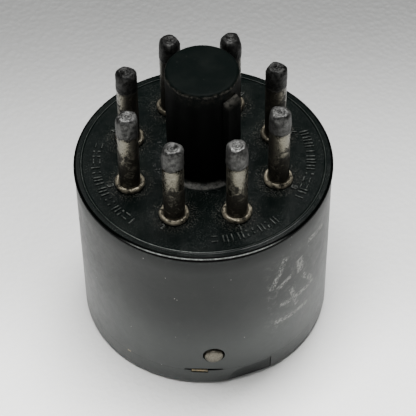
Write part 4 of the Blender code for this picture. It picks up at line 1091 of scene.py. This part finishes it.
def make_spring(material):
    """Return spring, which stretches between the armature's tab and the yoke's lug."""
    axis_y, radius = 0.0051, 0.0008
    low, high, turns, per_turn = 0.0090, 0.0120, 7, 26
    lower_hook = millimetres((5.5, 7.7), (5.1, 7.7), (4.7, 7.7), (4.4, 7.8), (4.2, 8.0), (4.2, 8.4),
                             (4.2, 8.7))
    upper_hook = millimetres((-0.3, 12.3), (-0.1, 12.5), (0.0, 12.8), (0.0, 13.2), (0.1, 13.5), (0.4, 13.6),
                             (1.0, 13.6))
    points = [Vector((0, y, z)) for y, z in lower_hook]
    for step in range(turns * per_turn + 1):
        angle = 2.0 * math.pi * step / per_turn - math.pi / 2
        height = low + (high - low) * step / (turns * per_turn)
        points.append(Vector((radius * math.cos(angle), axis_y + radius * math.sin(angle), height)))
    points += [Vector((0, axis_y + y, z)) for y, z in upper_hook]
    spring = smooth(tube("spring_wire", points, 0.00015, 10), 60)
    bend = (HOUSING, (0, axis_y, 0.0085), (0, axis_y, 0.0124))
    dress(spring, material, ARMATURE, "return_spring", "return_spring", bend=bend)


def make_leads(jackets, copper):
    """Insulated leads with bared copper ends; two of them run to the moving blades."""
    for number in range(1, PIN_COUNT + 1):
        pin = outward(pin_azimuth(number), PIN_CIRCLE_RADIUS)
        sign = -1.0 if number <= PIN_COUNT // 2 else 1.0
        entry = [pin + Vector((0, 0, PIN_LOW - 0.0003)), pin + Vector((0, 0, PIN_LOW + 0.0018))]
        if number in (2, 7):
            start = [(sign * 0.00495, -0.0036, 0.0155), (sign * 0.0052, -0.0036, 0.0167)]
        elif number in (4, 5):
            start = [(sign * 0.0042, 0.0058, 0.0171), (sign * 0.0040, 0.0068, 0.0173)]
        elif number in (3, 6):
            start = [(sign * 0.0053, 0.0083, 0.0172), (sign * 0.0072, 0.0064, 0.0172)]
        else:
            start = [(sign * 0.0070, 0.0066, 0.0087), (sign * 0.0088, 0.0068, 0.0091)]
            for degrees, height in ((32.0, 0.0097), (2.0, 0.0112), (-30.0, 0.0134), (-52.0, 0.0156)):
                angle = math.radians(degrees)
                start.append((sign * 0.0119 * math.cos(angle), 0.0119 * math.sin(angle), height))
            start.append((sign * 0.0050, -0.0086, 0.0170))
        route = smooth_route([Vector(place) for place in start] + entry, 9)
        node = "lead_wire_%d" % number
        lead = tube("lead_%d" % number, route, 0.00029, 14, taper=0.12)
        away = (route[0] - route[2]).normalized()
        strand = [route[0] + away * reach for reach in (-0.0002, 0.00012, 0.00028)]
        bare = tube("strand_%d" % number, strand, 0.00016, 10, taper=0.2)
        body, bend = HOUSING, None
        if number in (1, 8):
            body = ARMATURE
            bend = (HOUSING, (sign * 0.0070, 0.0066, 0.0087), (sign * 0.0119, 0.0004, 0.0112))
        dress(smooth(lead, 50), jackets[number - 1], body, node, node, bend=bend)
        dress(smooth(bare, 50), copper, body, node, bend=bend)


def refine(node, material, bevel=0.00006):
    """Keep a CAD node, ease its edges and give it its material."""
    item = frame["nodes"][node]
    item.data.materials.clear()
    item.data.materials.append(material)
    smooth(item, 35)
    if bevel:
        eased(item, bevel, 2, 45)


# -------- build the looks

base_black = base_phenolic()
make_base(base_black)
make_marks(base_black)
pin_look = pin_metal()
for pin_number in range(1, PIN_COUNT + 1):
    make_pin(pin_number, pin_look)
make_cover(cover_plastic())
make_cap(cover_plastic("cap_plastic", marked=False))
nickel = worn_nickel()
for catch_side, catch_azimuth in CATCH_AZIMUTHS.items():
    make_button(catch_side, catch_azimuth, nickel)

drawn_up = (1.0, 1.0, 0.2)
drawn_across = (1.0, 0.2, 1.0)
brass = metal("aged_brass", (0.68, 0.50, 0.22), (0.30, 0.20, 0.08), (0.22, 0.42), 0.55,
              handling_and_lit_side=(0.175, 0.155, 0.112))
bright_brass = metal("strip_brass", (0.76, 0.58, 0.28), (0.45, 0.31, 0.13), (0.20, 0.36), 0.35, drawn_up)
bronze = metal("phosphor_bronze", (0.70, 0.44, 0.25), (0.42, 0.23, 0.12), (0.18, 0.34), 0.35, drawn_up)
iron = metal("plated_iron", (0.52, 0.52, 0.50), (0.30, 0.28, 0.25), (0.28, 0.46), 0.5, drawn_across)
steel = metal("bright_steel", (0.60, 0.60, 0.61), (0.34, 0.33, 0.32), (0.18, 0.36), 0.4)
spring_steel = metal("spring_steel", (0.50, 0.50, 0.51), (0.28, 0.27, 0.27), (0.20, 0.34), 0.3)
silver = metal("contact_silver", (0.83, 0.82, 0.79), (0.42, 0.40, 0.37), (0.16, 0.34), 0.5)
copper = metal("bare_copper", (0.80, 0.38, 0.20), (0.45, 0.18, 0.09), (0.22, 0.36), 0.4)
brown = moulded("brown_phenolic", (0.175, 0.075, 0.030), (0.085, 0.033, 0.014), (0.34, 0.52), weave=True)
ivory = moulded("ivory_nylon", (0.66, 0.62, 0.50), (0.50, 0.46, 0.36), (0.36, 0.52))
red = wire_jacket("red_jacket", (0.50, 0.030, 0.022), (0.33, 0.018, 0.015))
blue = wire_jacket("blue_jacket", (0.030, 0.070, 0.36), (0.018, 0.042, 0.22))
yellow = wire_jacket("yellow_jacket", (0.62, 0.48, 0.045), (0.44, 0.33, 0.03))
white = wire_jacket("white_jacket", (0.66, 0.65, 0.60), (0.50, 0.48, 0.43))

make_winding(enamelled_copper())
make_spring(spring_steel)
make_leads([red, blue, yellow, white, white, yellow, blue, red], copper)

refine("chassis_plate", brass, 0.00004)
refine("coil_tape", coil_paper(), 0.0)
refine("coil_bobbin", ivory, 0.00008)
refine("contact_block", brown, 0.0)
refine("blade_carrier", brown, 0.0)
refine("blade_clamp_plate", brown, 0.0)
for plain in ("frame_yoke", "armature", "coil_core"):
    refine(plain, iron)
for plain in ("core_screw", "hinge_pin"):
    refine(plain, steel, 0.00004)
for hand in ("left", "right"):
    refine("frame_screw_" + hand, steel, 0.00004)
    refine("block_screw_" + hand, steel, 0.00004)
    refine("moving_blade_" + hand, bronze, 0.00002)
    refine("moving_contact_" + hand, silver, 0.0)
    refine("carrier_rivet_" + hand, bright_brass, 0.0)
    for kind in ("nc", "no"):
        refine("%s_terminal_%s" % (kind, hand), bright_brass, 0.00003)
        refine("%s_contact_%s" % (kind, hand), silver, 0.0)
for catch_side, catch_azimuth in CATCH_AZIMUTHS.items():
    make_leaf(catch_side, catch_azimuth, bright_brass)

# -------- floor, light and camera


def make_floor():
    """A wide flat table, a hair under the relay."""
    form = bmesh.new()
    bmesh.ops.create_grid(form, x_segments=2, y_segments=2, size=1.2)
    table = solid("table", form, Matrix.Translation((0.0, 0.0, -0.00002)))
    table.data.materials.append(table_top())


def make_light(name, place, target, size, power):
    """A soft rectangular light."""
    light = bpy.data.lights.new(name, "AREA")
    light.shape = "RECTANGLE"
    light.size, light.size_y = size
    light.energy = power
    item = linked(name, light)
    item.location = place
    item.rotation_euler = (Vector(target) - Vector(place)).to_track_quat("-Z", "Y").to_euler()


def around_view(azimuth, distance, height):
    """A point given by its azimuth from the camera's own, so lights keep their place in the view."""
    return outward(CAMERA_AZIMUTH + math.radians(azimuth), distance, height)


CAMERA_ELEVATION = math.radians(47.034)
CAMERA_DISTANCE = 0.195055
CAMERA_ROLL = math.radians(-0.92)
CAMERA_PAN = math.radians(-0.152)
CAMERA_TILT = math.radians(1.587)
CAMERA_LENS = 153.56


def make_camera():
    """Camera aimed at the middle of the base face, then turned to the view's framing."""
    target = Vector((0.0, 0.0, FACE_Z))
    back = outward(CAMERA_AZIMUTH, math.cos(CAMERA_ELEVATION), math.sin(CAMERA_ELEVATION))
    ahead = -back
    right = Vector((-math.sin(CAMERA_AZIMUTH), math.cos(CAMERA_AZIMUTH), 0.0))
    up = right.cross(ahead)
    rolled = right * math.cos(CAMERA_ROLL) + up * math.sin(CAMERA_ROLL)
    up = up * math.cos(CAMERA_ROLL) - right * math.sin(CAMERA_ROLL)
    panned = rolled * math.cos(CAMERA_PAN) + ahead * math.sin(CAMERA_PAN)
    ahead = ahead * math.cos(CAMERA_PAN) - rolled * math.sin(CAMERA_PAN)
    tilted = up * math.cos(CAMERA_TILT) + ahead * math.sin(CAMERA_TILT)
    ahead = ahead * math.cos(CAMERA_TILT) - up * math.sin(CAMERA_TILT)
    data = bpy.data.cameras.new("camera")
    data.lens = CAMERA_LENS
    data.sensor_width = 36.0
    data.clip_start = 0.005
    data.clip_end = 10.0
    item = linked("camera", data)
    turn = Matrix((panned, tilted, -ahead)).transposed()
    item.matrix_world = Matrix.Translation(target + back * CAMERA_DISTANCE) @ turn.to_4x4()
    bpy.context.scene.camera = item


def make_world(level):
    """Even, faintly cool surroundings."""
    world = bpy.data.worlds.new("surroundings")
    world.use_nodes = True
    world.node_tree.nodes["Background"].inputs["Color"].default_value = (0.92, 0.97, 1.0, 1.0)
    world.node_tree.nodes["Background"].inputs["Strength"].default_value = level
    bpy.context.scene.world = world


make_floor()
make_camera()
make_world(0.05)
make_light("key", around_view(171, 0.085, 0.42), around_view(171, 0.085, 0.0), (0.34, 0.17), 7.7)
make_light("strip", around_view(0, 0.45, 0.14), (0, 0, 0.02), (0.50, 0.06), 0.8)
make_light("back_left", around_view(-156, 0.40, 0.42), (0, 0, 0.02), (0.20, 0.30), 0.35)
make_light("back_right", around_view(150, 0.42, 0.40), (0, 0, 0.02), (0.16, 0.24), 0.08)
